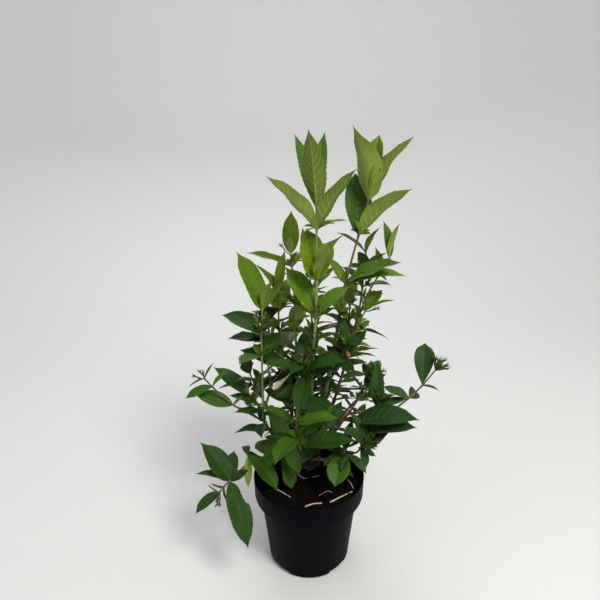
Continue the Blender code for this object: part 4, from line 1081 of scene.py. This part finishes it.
OVARY_RADII = (0.00050, 0.00068, 0.00105, 0.00130, 0.00100)
SEPALS = 5
SEPAL_HALF_WIDTH = 0.00085
SEPAL_KEEL = 0.00016
SEPAL_LEAN = (0.25, 0.75)
SEPAL_SHARE = (0.32, 0.44)      # its length, as a share of the whole calyx's
SEPAL_FACES = [(2, 1, 0), (4, 3, 0, 1), (5, 4, 1, 2), (3, 5, 2, 0), (6, 3, 4), (6, 4, 5), (6, 5, 3)]


def add_calyx(bag, foot, tip, dice, finish):
    """One spent flower: a slim ribbed ovary on its stalk, with five long narrow sepals."""
    reach = tip - foot
    axis = reach.normalized()
    across = axis.orthogonal().normalized()
    bow = across * reach.length * dice.uniform(-0.08, 0.08)
    way = [foot, foot + reach * 0.33 + bow, foot + reach * 0.66 + bow * 0.6]
    rings, top = [], way[-1]
    for i, radius in enumerate(OVARY_RADII):
        point, heading = along(way, i / (len(OVARY_RADII) - 1))
        rings += ring(point, heading, heading.orthogonal().normalized(), radius, SEPALS)
    bag.add(rings, tube_faces(len(OVARY_RADII), SEPALS), finish)
    for k in range(SEPALS):
        turn = math.tau * k / SEPALS + dice.uniform(-0.3, 0.3)
        lean = dice.uniform(*SEPAL_LEAN)
        side = Matrix.Rotation(turn, 3, axis) @ across
        out = (axis + side * lean).normalized()
        length = reach.length * dice.uniform(*SEPAL_SHARE)
        flat = axis.cross(side).normalized() * SEPAL_HALF_WIDTH
        thin = out.cross(flat).normalized() * SEPAL_KEEL
        mid = top + out * length * 0.5 + side * length * 0.08
        end = top + out * length
        foot_ring = [top + flat + side * 0.0003, top - flat + side * 0.0003, top - thin * 2]
        mid_ring = [mid + flat, mid - flat, mid - thin * 3]
        bag.add(foot_ring + mid_ring + [end], SEPAL_FACES, finish)


# ---------------------------------------------------------------- pot and soil

POT_SIDES = 144
RIM_ROUND = 0.0008
POT_GIVE, POT_DENT, DENT_SCALE = 0.0006, 0.0005, 22     # how far its rim and its wall are off true


def pot_wall_radius(height):
    """The outer radius of the tapering wall below the collar."""
    top = RIM_RADIUS - COLLAR_DRAFT - COLLAR_STEP
    return BASE_RADIUS + (top - BASE_RADIUS) * height / (POT_HEIGHT - COLLAR_HEIGHT)


def collar_radius(height):
    """The outer radius of the collar."""
    return RIM_RADIUS - COLLAR_DRAFT * (POT_HEIGHT - height) / COLLAR_HEIGHT


def pot_profile():
    """Inside from the floor's centre up to the rim, then outside down to the underside's centre."""
    shelf = POT_HEIGHT - COLLAR_HEIGHT
    floor_turn, rounded = FLOOR_HEIGHT + BASE_CHAMFER, POT_HEIGHT - RIM_ROUND
    inside = [(0.0, FLOOR_HEIGHT), (pot_wall_radius(0.0) - WALL - BASE_CHAMFER, FLOOR_HEIGHT)]
    inside += [(pot_wall_radius(h) - WALL, h) for h in np.linspace(floor_turn, shelf, 8)]
    inside += [(pot_wall_radius(shelf) - WALL + 0.001, shelf + WALL),
               (collar_radius(shelf) - WALL, shelf + WALL)]
    inside += [(collar_radius(h) - WALL, h) for h in np.linspace(shelf + 2 * WALL, rounded, 5)]
    middle = RIM_RADIUS - WALL / 2
    lip = [(middle + WALL / 2 * math.cos(turn), rounded + RIM_ROUND * math.sin(turn))
           for turn in np.linspace(math.pi, 0, 7)][1:-1]
    collar = [(collar_radius(h), h) for h in np.linspace(rounded, shelf + 0.0014, 9)]
    ledge = [(collar_radius(shelf) - 0.0002, shelf + 0.0005), (collar_radius(shelf) - 0.0008, shelf),
             (pot_wall_radius(shelf) + 0.0010, shelf), (pot_wall_radius(shelf) + 0.0002, shelf - 0.0006)]
    wall = [(pot_wall_radius(h), h) for h in np.linspace(shelf - 0.002, BASE_CHAMFER + 0.0008, 22)]
    foot = [(pot_wall_radius(BASE_CHAMFER), BASE_CHAMFER), (BASE_RADIUS - 0.0012, 0.0012),
            (BASE_RADIUS - BASE_CHAMFER, 0.0), (0.0, 0.0)]
    return inside + lip + collar + ledge + wall + foot


def turned(profile, sides):
    """A closed body turned round Z from a profile of (radius, height) that starts and ends on it."""
    points, faces, rings = [], [], []
    for radius, height in profile:
        count = sides if radius else 1
        rings.append(range(len(points), len(points) + count))
        points += [(radius * math.cos(math.tau * k / sides), radius * math.sin(math.tau * k / sides), height)
                   for k in range(count)]
    for one, two in zip(rings, rings[1:]):
        for k in range(sides):
            corners = [one[k % len(one)], one[(k + 1) % len(one)], two[(k + 1) % len(two)], two[k % len(two)]]
            faces.append(tuple(dict.fromkeys(corners)))
    return points, [tuple(reversed(face)) for face in faces]


def make_pot(finish):
    """The container's shell, a little uneven as thin moulded plastic is, with its drain notches."""
    points, faces = turned(pot_profile(), POT_SIDES)
    warped = []
    for x, y, z in points:
        turn = math.atan2(y, x)
        waves = math.sin(2 * turn + 0.7) + 0.5 * math.sin(3 * turn + 2.0)
        give = POT_GIVE * (z / POT_HEIGHT) ** 2 * waves
        dent = POT_DENT * noise.noise(Vector((x, y, z)) * DENT_SCALE) * math.sin(math.pi * z / POT_HEIGHT)
        grow = 1 + (give + dent) / max(math.hypot(x, y), 0.02)
        warped.append((x * grow, y * grow, z))
    pot = lone_piece("pot_shell", warped, faces, finish, sharp=30)
    tools = bpy.data.collections.new("drain_tools")
    bpy.context.scene.collection.children.link(tools)
    reach = BASE_RADIUS - DRAIN_DEPTH + DRAIN_WIDTH / 2
    points, faces = turned([(0.0, DRAIN_HEIGHT), (DRAIN_WIDTH / 2, DRAIN_HEIGHT),
                            (DRAIN_WIDTH / 2, -DRAIN_HEIGHT), (0.0, -DRAIN_HEIGHT)], 32)
    for k in range(DRAIN_COUNT):
        turn = math.tau * (k + 0.5) / DRAIN_COUNT
        moved = [(x + math.cos(turn) * reach, y + math.sin(turn) * reach, z) for x, y, z in points]
        cutter = lone_piece(f"drain_{k}", moved, faces, finish)
        bpy.context.scene.collection.objects.unlink(cutter)
        tools.objects.link(cutter)
    work = pot.modifiers.new("drains", "BOOLEAN")
    work.operand_type, work.collection, work.solver = "COLLECTION", tools, "EXACT"
    bpy.context.view_layer.update()
    cut = bpy.data.meshes.new_from_object(pot.evaluated_get(bpy.context.evaluated_depsgraph_get()))
    pot.modifiers.remove(work)
    pot.data = cut
    cut.set_sharp_from_angle(angle=math.radians(30))
    for cutter in list(tools.objects):
        bpy.data.objects.remove(cutter, do_unlink=True)
    bpy.data.collections.remove(tools)
    return pot


SOIL_SIDE_GAP = 0.0005
SOIL_EDGE_DROP = 0.006
SOIL_FOOT_RISE = 0.010
SOIL_SIDES, SOIL_RINGS = 200, 74
LUMP_HEIGHT, LUMP_SCALE = 0.0022, 55
CLOD_HEIGHT, CLOD_SCALE = 0.0015, 240
EDGE_FROM = 0.80                # the share of the radius from which the top falls to the wall


def soil_surface(x, y):
    """The height of the peat's lumpy top, level at the root crown and falling to the wall."""
    edge = min(math.hypot(x, y) / (collar_radius(SOIL_TOP) - WALL), 1.0)
    to_crown = math.hypot(x - CROWN_CENTRE.x, y - CROWN_CENTRE.y)
    calm = min(max(to_crown / CROWN_RADIUS - 1.0, 0.12), 1.0)
    lumps = noise.fractal(Vector((x, y, 0.0)) * LUMP_SCALE, 0.55, 2.2, 3) * LUMP_HEIGHT
    clods = noise.fractal(Vector((x, y, 0.3)) * CLOD_SCALE, 0.7, 2.2, 3) * CLOD_HEIGHT
    fall = SOIL_EDGE_DROP * max(edge - EDGE_FROM, 0.0) / 0.20
    return SOIL_TOP - 0.0010 - fall + (lumps + clods) * calm


def make_soil(finish):
    """The root ball's body with its lumpy top, over the collar's ledge."""
    inset = WALL + SOIL_SIDE_GAP
    ledge = POT_HEIGHT - COLLAR_HEIGHT + WALL + GAP
    broad, narrow = collar_radius(ledge) - inset, pot_wall_radius(ledge - WALL) - inset
    low = pot_wall_radius(SOIL_FOOT_RISE) - inset
    profile = [(broad * step / SOIL_RINGS, SOIL_TOP) for step in range(SOIL_RINGS + 1)]
    profile += [(broad, h) for h in np.linspace(SOIL_TOP - SOIL_EDGE_DROP - 0.005, ledge, 3)]
    profile += [(narrow, ledge)]
    profile += [(pot_wall_radius(h) - inset, h) for h in np.linspace(ledge - 2 * WALL, 0.012, 10)]
    foot = FLOOR_HEIGHT + GAP
    profile += [(low, SOIL_FOOT_RISE), (low - 2 * BASE_CHAMFER, foot), (0.0, foot)]
    points, faces = turned(profile, SOIL_SIDES)
    points = [(x, y, soil_surface(x, y) if z == SOIL_TOP else z) for x, y, z in points]
    return lone_piece("peat_bed", points, faces, finish, sharp=60)


CRUMB_COUNT, CRUMB_REACH = 1500, 0.084
CRUMB_LEAST, CRUMB_GROWTH = 0.0005, 0.0022
LUMP = [(0, 0, 1), (0.9, 0, 0.3), (0.28, 0.85, 0.3), (-0.72, 0.53, 0.35), (-0.72, -0.53, 0.3),
        (0.28, -0.85, 0.28), (0.7, 0.5, -0.4), (-0.28, 0.85, -0.4), (-0.9, 0, -0.4),
        (-0.28, -0.85, -0.4), (0.7, -0.5, -0.4), (0, 0, -0.8)]
LUMP_FACES = ([(0, 1 + k, 1 + (k + 1) % 5) for k in range(5)]
              + [(1 + k, 6 + k, 1 + (k + 1) % 5) for k in range(5)]
              + [(6 + k, 6 + (k + 1) % 5, 1 + (k + 1) % 5) for k in range(5)]
              + [(11, 6 + (k + 1) % 5, 6 + k) for k in range(5)])


def scatter_place(dice, reach):
    """A place on the soil, clear of the root crown."""
    while True:
        turn, far = dice.uniform(0, math.tau), reach * math.sqrt(dice.random())
        x, y = far * math.cos(turn), far * math.sin(turn)
        if math.hypot(x - CROWN_CENTRE.x, y - CROWN_CENTRE.y) > CROWN_RADIUS:
            return x, y


def make_crumbs(finishes, dice):
    """Crumbs and clods of peat lying on the soil."""
    bag = Bag()
    for _ in range(CRUMB_COUNT):
        x, y = scatter_place(dice, CRUMB_REACH)
        size = CRUMB_LEAST + CRUMB_GROWTH * dice.random() ** 3
        angle, axis = dice.uniform(0, 6.3), Vector((dice.random(), dice.random(), 1)).normalized()
        turn = Matrix.Rotation(angle, 3, axis)
        stretch = Vector((dice.uniform(0.7, 1.5), dice.uniform(0.7, 1.2), dice.uniform(0.5, 0.9)))
        centre = Vector((x, y, soil_surface(x, y) + size * 0.2))
        points = [centre + turn @ (Vector(p) * dice.uniform(0.75, 1.2) * size * stretch) for p in LUMP]
        bag.add(points, LUMP_FACES, dice.choice(finishes))
    return bag.make("peat_crumbs", sharp=30)


STRAND_FLATNESS = 0.15
FIBRE_COUNT, FIBRE_REACH = 330, 0.080
FIBRE_LENGTH, FIBRE_RADIUS = (0.004, 0.013), (0.00016, 0.00034)
FIBRE_HEIGHT, FIBRE_CURL = 0.0004, 0.0009


def add_strand(bag, places, radius, finish, sides):
    """A fibre or straw lying on the soil along its places, a little flattened."""
    places = [Vector(place) for place in places]
    points, faces = tube(smooth_way(places, 4), radius, radius * 0.7, sides)
    middle = (sum(places, Vector()) / len(places)).z
    points = [(p.x, p.y, middle + (p.z - middle) * (1 - STRAND_FLATNESS)) for p in points]
    bag.add(points, faces, finish)


def make_fibres(finish, dice):
    """Short brown fibres of peat and root, curled over the soil."""
    bag = Bag()
    for _ in range(FIBRE_COUNT):
        x, y = scatter_place(dice, FIBRE_REACH)
        turn, length = dice.uniform(0, math.tau), dice.uniform(*FIBRE_LENGTH)
        places = []
        for _ in range(4):
            places.append((x, y, soil_surface(x, y) + FIBRE_HEIGHT + dice.uniform(0, FIBRE_CURL)))
            turn += dice.uniform(-0.7, 0.7)
            x, y = x + math.cos(turn) * length / 3, y + math.sin(turn) * length / 3
        add_strand(bag, places, dice.uniform(*FIBRE_RADIUS), finish, sides=4)
    return bag.make("peat_fibres")


STRAW_HEIGHT = 0.0014
STRAW_BEND = (0.0006, 0, 0.0008)
THICK_STRAWS = 3                # the first ones
THICK_RADIUS, THIN_RADIUS = 0.0013, 0.0008
STRAWS = (      # pale dry stalks lying on the soil, in millimetres over its plain
    ((-7, -66), (6, -60), (20, -58)), ((33, -58), (52, -44), (71, -30)), ((35, -73), (54, -59)),
    ((-53, 53), (-37, 61), (-20, 67)), ((-76, 34), (-66, 44)), ((-8, 82), (11, 67), (35, 46)),
    ((16, -40), (30, -30), (37, -34)), ((66, -6), (74, -24)), ((6, 2), (18, 8)), ((-40, -38), (-30, -46)),
    ((-20, 12), (-8, 2), (-2, 4)), ((-58, -24), (-39, -38)),
)


def make_straws(finish):
    """The dry stalks, each short one bent a little at its middle."""
    bag = Bag()
    for k, places in enumerate(STRAWS):
        lifted = [(x * MM, y * MM, soil_surface(x * MM, y * MM) + STRAW_HEIGHT) for x, y in places]
        if len(lifted) == 2:
            lifted.insert(1, tuple((a + b) / 2 + bump for a, b, bump in zip(*lifted, STRAW_BEND)))
        add_strand(bag, lifted, THICK_RADIUS if k < THICK_STRAWS else THIN_RADIUS, finish, sides=7)
    return bag.make("straw_bits")


# ---------------------------------------------------------------- spent blossom

BLOSSOMS = (    # the tube's foot, a point on its way and its mouth's centre; the mouth's radius
    ("blossom_cream", ((-29, 0, 346), (-38, -3, 338), (-56, -8, 324)), 6.2),
    ("blossom_pink", ((58, -1, 392), (59, -9, 389), (61, -19, 384)), 5.0),
)
BLOSSOM_TUBE = 0.7              # the tube's least radius, in millimetres
BLOSSOM_LOBE, BLOSSOM_CREASE = 0.28, 0.35
BLOSSOM_CURL = 0.75             # how far the mouth's last fifth is drawn in


def make_blossom(name, places, mouth, finish):
    """A spent blossom: a slim tube that widens to a crumpled, five-lobed mouth."""
    path = smooth_way([mm(*place) for place in places], 8)
    sides, rings = 30, []
    count = len(path)
    for i, point in enumerate(path):
        heading = (path[min(i + 1, count - 1)] - path[max(i - 1, 0)]).normalized()
        one = heading.orthogonal().normalized()
        share = i / (count - 1)
        drawn_in = 1 - BLOSSOM_CURL * max(share - 0.8, 0) / 0.2
        radius = (BLOSSOM_TUBE + (mouth - BLOSSOM_TUBE) * share ** 2.2 * drawn_in) * MM
        for k in range(sides):
            turn = math.tau * k / sides
            lobe = 1 + BLOSSOM_LOBE * share * math.cos(5 * turn + 2 * share)
            crumple = noise.noise(Vector((math.cos(turn), math.sin(turn), share * 4)) * 2.3)
            crease = 1 + BLOSSOM_CREASE * share * crumple
            rings.append(point + Matrix.Rotation(turn, 3, heading) @ one * radius * lobe * crease)
    return lone_piece(name, rings, tube_faces(count, sides), finish, sharp=60)


# ---------------------------------------------------------------- finishes

class Finish:
    """A procedural material in the making; each bump lies on top of the one before it."""

    def __init__(self, name, colour, roughness, gloss=0.5):
        self.material = bpy.data.materials.new(name)
        self.material.use_nodes = True
        self.tree = self.material.node_tree
        self.sockets = self.tree.nodes["Principled BSDF"].inputs
        self.sockets["Base Color"].default_value = (*colour, 1.0)
        self.sockets["Roughness"].default_value = roughness
        self.sockets["Specular IOR Level"].default_value = gloss
        self.relief = None

    def node(self, kind, **inputs):
        """A new node, each of its inputs set to a value or linked to another node's output."""
        made = self.tree.nodes.new("ShaderNode" + kind)
        for name, value in inputs.items():
            socket = made.inputs[name.replace("_", " ")]
            if isinstance(value, bpy.types.NodeSocket):
                self.tree.links.new(value, socket)
            else:
                socket.default_value = value
        return made

    def texture(self, kind, scale, stretch=None, **values):
        """A texture on object coordinates, scaled along the axes by stretch."""
        place = self.node("TexCoord").outputs["Object"]
        if stretch:
            place = self.node("Mapping", Vector=place, Scale=stretch).outputs["Vector"]
        return self.node(kind, Vector=place, Scale=scale, **values)

    def noise(self, scale, detail, stretch=None, **values):
        """A cloudy texture between 0 and 1."""
        return self.texture("TexNoise", scale, stretch, Detail=detail, **values).outputs["Fac"]

    def spread(self, source, low, high, start=0.0, end=1.0):
        """A value spread between low and high as source goes from start to end."""
        return self.node("MapRange", Value=source, From_Min=start, From_Max=end,
                         To_Min=low, To_Max=high).outputs["Result"]

    def rough(self, source, low, high):
        """A roughness that a texture's middle range spreads between low and high."""
        self.tree.links.new(self.spread(source, low, high, 0.3, 0.7), self.sockets["Roughness"])

    def bump(self, source, depth, strength):
        """Relief from source, on top of the relief so far."""
        below = {"Normal": self.relief} if self.relief else {}
        made = self.node("Bump", Distance=depth, Strength=strength, Height=source, **below)
        self.relief = made.outputs["Normal"]
        self.tree.links.new(self.relief, self.sockets["Normal"])

    def blend(self, source, one, two, start, end, most=1.0):
        """A base colour from one to the other, or most of the way, as source goes from start to end."""
        mix = self.tree.nodes.new("ShaderNodeMix")
        mix.data_type = "RGBA"
        self.tree.links.new(self.spread(source, 0.0, most, start, end), mix.inputs["Factor"])
        mix.inputs["A"].default_value, mix.inputs["B"].default_value = (*one, 1.0), (*two, 1.0)
        self.tree.links.new(mix.outputs["Result"], self.sockets["Base Color"])


def leaf_finish(name, colour, roughness, net, gloss):
    """Leaf skin: a plain colour, with the fine net of veins in its relief and sheen."""
    skin = Finish(name, colour, roughness, gloss)
    cells = skin.texture("TexVoronoi", 620)
    cells.feature = "DISTANCE_TO_EDGE"
    skin.rough(skin.noise(130, 3.0), roughness - 0.09, roughness + 0.09)
    skin.bump(skin.spread(cells.outputs["Distance"], 0.0, 1.0, 0.0, 0.12), net, 0.5)
    skin.bump(skin.noise(320, 2.0), 0.0004, 0.35)
    return skin.material


def bark_finish(name, colour, dark, roughness):
    """Stem skin with fine furrows and pale lenticels."""
    skin = Finish(name, colour, roughness)
    streaks = skin.noise(420, 5.0, (1.0, 1.0, 0.22))
    skin.blend(streaks, dark, colour, 0.38, 0.62)
    specks = skin.texture("TexVoronoi", 330).outputs["Distance"]
    skin.bump(streaks, 0.0005, 0.6)
    skin.bump(skin.spread(specks, 1.0, 0.0, 0.0, 0.35), 0.0003, 0.4)
    skin.rough(streaks, roughness + 0.1, roughness - 0.08)
    return skin.material


POT_COLOUR, POT_DUST = (0.0010, 0.0021, 0.0036), (0.0080, 0.0086, 0.0092)


def plastic_finish():
    """Blue-black moulded plastic: fine grain, rubbed streaks and a little dried soil."""
    skin = Finish("pot_plastic", POT_COLOUR, 0.5, 0.035)
    smear = skin.noise(26, 7.0, (1.0, 1.0, 0.45), Roughness=0.62)
    skin.blend(smear, POT_COLOUR, POT_DUST, 0.56, 0.80, most=0.5)
    skin.rough(skin.noise(95, 4.0, (1.0, 1.0, 0.15)), 0.42, 0.56)
    skin.bump(skin.noise(900, 2.0), 0.00012, 0.5)
    skin.bump(smear, 0.0009, 0.35)
    return skin.material


def peat_finish(name, light, dark):
    """Dull, crumbly peat."""
    skin = Finish(name, light, 0.95, 0.05)
    grain = skin.noise(380, 6.0)
    skin.blend(grain, dark, light, 0.42, 0.66)
    skin.bump(skin.noise(160, 5.0), 0.0016, 0.8)
    skin.bump(grain, 0.0008, 0.8)
    skin.rough(grain, 0.98, 0.80)
    return skin.material


def petal_finish(name, colour, edge):
    """Wilted petal: thin, creased and browned in patches."""
    skin = Finish(name, colour, 0.6)
    skin.blend(skin.noise(260, 4.0), colour, edge, 0.45, 0.72)
    creases = skin.noise(700, 3.0)
    skin.bump(creases, 0.0006, 0.7)
    skin.rough(creases, 0.5, 0.75)
    return skin.material


def scaled(colour, by):
    """A lighter or darker tint of a colour."""
    return tuple(value * by for value in colour)


def tone_finishes():
    """For each tone, the four finishes of each of its tints."""
    made = {}
    for tone, (upper, under, upper_vein, under_vein) in TONES.items():
        veins = (leaf_finish(f"leaf_{tone}_vein", upper_vein, 0.50, 0.0002, 0.12),
                 leaf_finish(f"leaf_{tone}_under_vein", under_vein, 0.62, 0.0002, 0.08))
        made[tone] = []
        for k, by in enumerate(TINTS):
            top = leaf_finish(f"leaf_{tone}_{k + 1}", scaled(upper, by), 0.42, 0.00030, 0.16)
            bottom = leaf_finish(f"leaf_{tone}_under_{k + 1}", scaled(under, by), 0.66, 0.00035, 0.06)
            made[tone].append((top, veins[0], bottom, veins[1]))
    return made


# ---------------------------------------------------------------- pieces

def make_foliage(shrub, finishes):
    """Every leaf as a blade, joined by piece; leaves along the limbs go with the back or inner ones."""
    dice = random.Random(FINE_SEED + 1)
    piece_of = {spray.name: spray.piece for spray in SPRAYS}
    bags = {piece: Bag() for piece in piece_of.values()}
    for leaf in shrub.leaves:
        piece = piece_of.get(leaf.owner, "back" if "back" in leaf.owner else "inner")
        add_blade(bags[piece], leaf, dice, finishes[leaf.tone][dice.randrange(len(TINTS))])
    for piece, bag in bags.items():
        finish_piece(bag.make("foliage_" + piece, sharp=50),
                     [name for name, joined in piece_of.items() if joined == piece])


CALYX_PALE_FROM, CALYX_PALE_REACH, CALYX_PALE_SHARE = 0.26, 0.10, 0.75
OLIVE_SHOOTS = ("leaves_right_top", "leaves_right_middle", "leaves_right_end")
PALE_SHOOTS = ("leaves_left_top", "leaves_left_dark", "leaves_centre_left", "leaves_centre_top")


def make_stems(shrub, whole, barks, greens):
    """The woody limbs with their bark's relief, and the green shoots that carry on from them."""
    woody = Bag()
    add_root_crown(woody, barks[0])
    for limb in LIMBS:
        foot, tip = (value * MM for value in limb.thick)
        add_stem(woody, whole[limb.name], foot * STEM_FLARE, tip, 14, barks, BARK_NODES, 0.055, limb.greens)
    names = ["root_crown"] + [limb.name for limb in LIMBS]
    finish_piece(woody.make("woody_stems", sharp=70), names)

    shoots = Bag()
    limb_tip = {limb.name: limb.thick[1] * MM for limb in LIMBS}
    for spray in SPRAYS:
        path = shrub.paths[spray.name]
        if spray.at == 1.0:
            path = [shrub.paths[spray.limb][-1]] + path
        foot = limb_tip[spray.limb] if spray.at == 1.0 else SPRAY_FOOT_RADIUS
        green = barks[2] if spray.name in OLIVE_SHOOTS else greens[spray.name not in PALE_SHOOTS]
        add_stem(shoots, path, foot, SPRAY_TIP_RADIUS, 10, [green], spray.nodes, 0.035)
    for path, foot, tip, nodes in shrub.shoots:
        add_stem(shoots, path, foot, tip, 7, greens[:1], nodes, 0.03)
    finish_piece(shoots.make("green_shoots", sharp=70))


def make_calyces(shrub, dark, pale):
    """The spent flowers; those high in the crown are paler than those at its edge and foot."""
    dice = random.Random(FINE_SEED + 2)
    bag = Bag()
    for foot, tip in shrub.calyces:
        high = foot.z > CALYX_PALE_FROM and abs(foot.x) < CALYX_PALE_REACH
        add_calyx(bag, foot, tip, dice, pale if high and dice.random() < CALYX_PALE_SHARE else dark)
    bag.points = [np.clip(points, *cad_box) for points in bag.points]
    finish_piece(bag.make("calyces", sharp=70))


# ---------------------------------------------------------------- floor, light and camera

FRAME_WIDTH = 600               # the photograph's frame, in pixels
FOCAL_PIXELS = 499.7
SENSOR = 36.0
CAMERA_PLACE = (-0.012244, -0.70712, 0.711763)
CAMERA_PITCH = 18.954           # degrees below the level
CAMERA_ROLL = 0.4913


def make_camera():
    """The camera where the photograph was taken, level but for its pitch and a slight roll."""
    pitch, roll = math.radians(CAMERA_PITCH), math.radians(CAMERA_ROLL)
    forward = Vector((0.0, math.cos(pitch), -math.sin(pitch)))
    right = Vector((1.0, 0.0, 0.0))
    down = forward.cross(right)
    turned_right = right * math.cos(roll) + down * math.sin(roll)
    turned_down = down * math.cos(roll) - right * math.sin(roll)
    data = bpy.data.cameras.new("photo_view")
    data.sensor_width, data.lens = SENSOR, SENSOR * FOCAL_PIXELS / FRAME_WIDTH
    data.clip_start = 0.02
    camera = bpy.data.objects.new("photo_view", data)
    axes = Matrix((turned_right, -turned_down, -forward)).transposed()
    camera.matrix_world = Matrix.Translation(CAMERA_PLACE) @ axes.to_4x4()
    bpy.context.scene.collection.objects.link(camera)
    bpy.context.scene.camera = camera


FLOOR_COLOUR = (0.66, 0.66, 0.655)
BOWL_FLAT, BOWL_TURN, BOWL_HEIGHT = 1.3, 2.3, 3.6
SURROUND, SURROUND_POWER = (1.0, 1.0, 0.99), 0.58
SOFTBOXES = (   # name, place, aim, size, power, colour
    ("key", (0.8, -1.1, 2.0), (0.0, 0.0, 0.35), 0.8, 41.0, (1.0, 0.985, 0.96)),
    ("fill", (-1.6, -0.8, 1.3), (0.0, 0.0, 0.3), 1.3, 4.0, (0.95, 0.98, 1.0)),
    ("back", (-0.3, 1.6, 1.9), (0.0, 0.0, 0.4), 1.2, 16.0, (1.0, 1.0, 1.0)),
    ("wall", (0.0, 1.3, 2.4), (0.0, 3.4, 1.9), 1.4, 16.0, (1.0, 1.0, 1.0)),
)


def add_softbox(name, place, aim, size, power, colour):
    """A round soft lamp at its place, turned to its aim."""
    data = bpy.data.lights.new(name, "AREA")
    data.shape, data.size, data.energy, data.color = "DISK", size, power, colour
    lamp = bpy.data.objects.new(name, data)
    lamp.location = place
    lamp.rotation_euler = (Vector(aim) - Vector(place)).to_track_quat("-Z", "Y").to_euler()
    bpy.context.scene.collection.objects.link(lamp)


def make_stage():
    """A pale studio bowl whose floor runs up into its wall, an even surround and soft lamps."""
    arc = [(BOWL_FLAT + BOWL_TURN * math.sin(turn), BOWL_TURN * (1 - math.cos(turn)))
           for turn in np.linspace(0, math.pi / 2, 16)]
    profile = [(0.0, 0.0)] + arc + [(BOWL_FLAT + BOWL_TURN, BOWL_HEIGHT)]
    points, faces = turned(profile, 96)
    paint = Finish("floor_paint", FLOOR_COLOUR, 0.8, 0.1)
    paint.rough(paint.noise(60, 3.0), 0.72, 0.88)
    lone_piece("floor", points, faces, paint.material, sharp=60)

    world = bpy.data.worlds.new("studio")
    world.use_nodes = True
    sky = world.node_tree.nodes["Background"]
    sky.inputs["Color"].default_value = (*SURROUND, 1.0)
    sky.inputs["Strength"].default_value = SURROUND_POWER
    bpy.context.scene.world = world
    bpy.context.scene.view_settings.view_transform = "Standard"
    for lamp in SOFTBOXES:
        add_softbox(*lamp)


def main():
    """The stage, then the shrub by kind, its spent blossom, the pot and what lies in it."""
    make_camera()
    make_stage()
    shrub, whole = grow()
    make_foliage(shrub, tone_finishes())
    barks = [bark_finish("bark_brown", (0.075, 0.040, 0.022), (0.030, 0.018, 0.012), 0.75),
             bark_finish("bark_tan", (0.150, 0.092, 0.040), (0.075, 0.045, 0.020), 0.65),
             bark_finish("bark_olive", (0.150, 0.145, 0.040), (0.105, 0.075, 0.028), 0.58),
             bark_finish("bark_green", (0.130, 0.185, 0.040), (0.095, 0.140, 0.030), 0.52)]
    greens = [bark_finish("shoot_green", (0.215, 0.275, 0.075), (0.160, 0.215, 0.050), 0.5),
              bark_finish("shoot_dark", (0.100, 0.135, 0.045), (0.085, 0.070, 0.030), 0.55)]
    make_stems(shrub, whole, barks, greens)
    make_calyces(shrub, leaf_finish("calyx_green", (0.060, 0.095, 0.018), 0.6, 0.0002, 0.10),
                 leaf_finish("calyx_pale", (0.150, 0.205, 0.045), 0.6, 0.0002, 0.10))
    blossom = {"blossom_cream": petal_finish("petal_cream", (0.84, 0.78, 0.62), (0.60, 0.42, 0.28)),
               "blossom_pink": petal_finish("petal_pink", (0.32, 0.10, 0.06), (0.17, 0.06, 0.035))}
    for name, places, mouth in BLOSSOMS:
        finish_piece(make_blossom(name, places, mouth, blossom[name]))
    finish_piece(make_pot(plastic_finish()), ("pot",))
    peat = peat_finish("peat", (0.0075, 0.0055, 0.0045), (0.0016, 0.0014, 0.0013))
    brown = peat_finish("peat_brown", (0.026, 0.015, 0.009), (0.007, 0.0045, 0.003))
    finish_piece(make_soil(peat), ("soil",))
    dice = random.Random(FINE_SEED + 3)
    finish_piece(make_crumbs((peat, peat, peat, brown), dice))
    finish_piece(make_fibres(brown, dice))
    straw = bark_finish("straw", (0.62, 0.60, 0.36), (0.40, 0.36, 0.18), 0.6)
    finish_piece(make_straws(straw))


main()
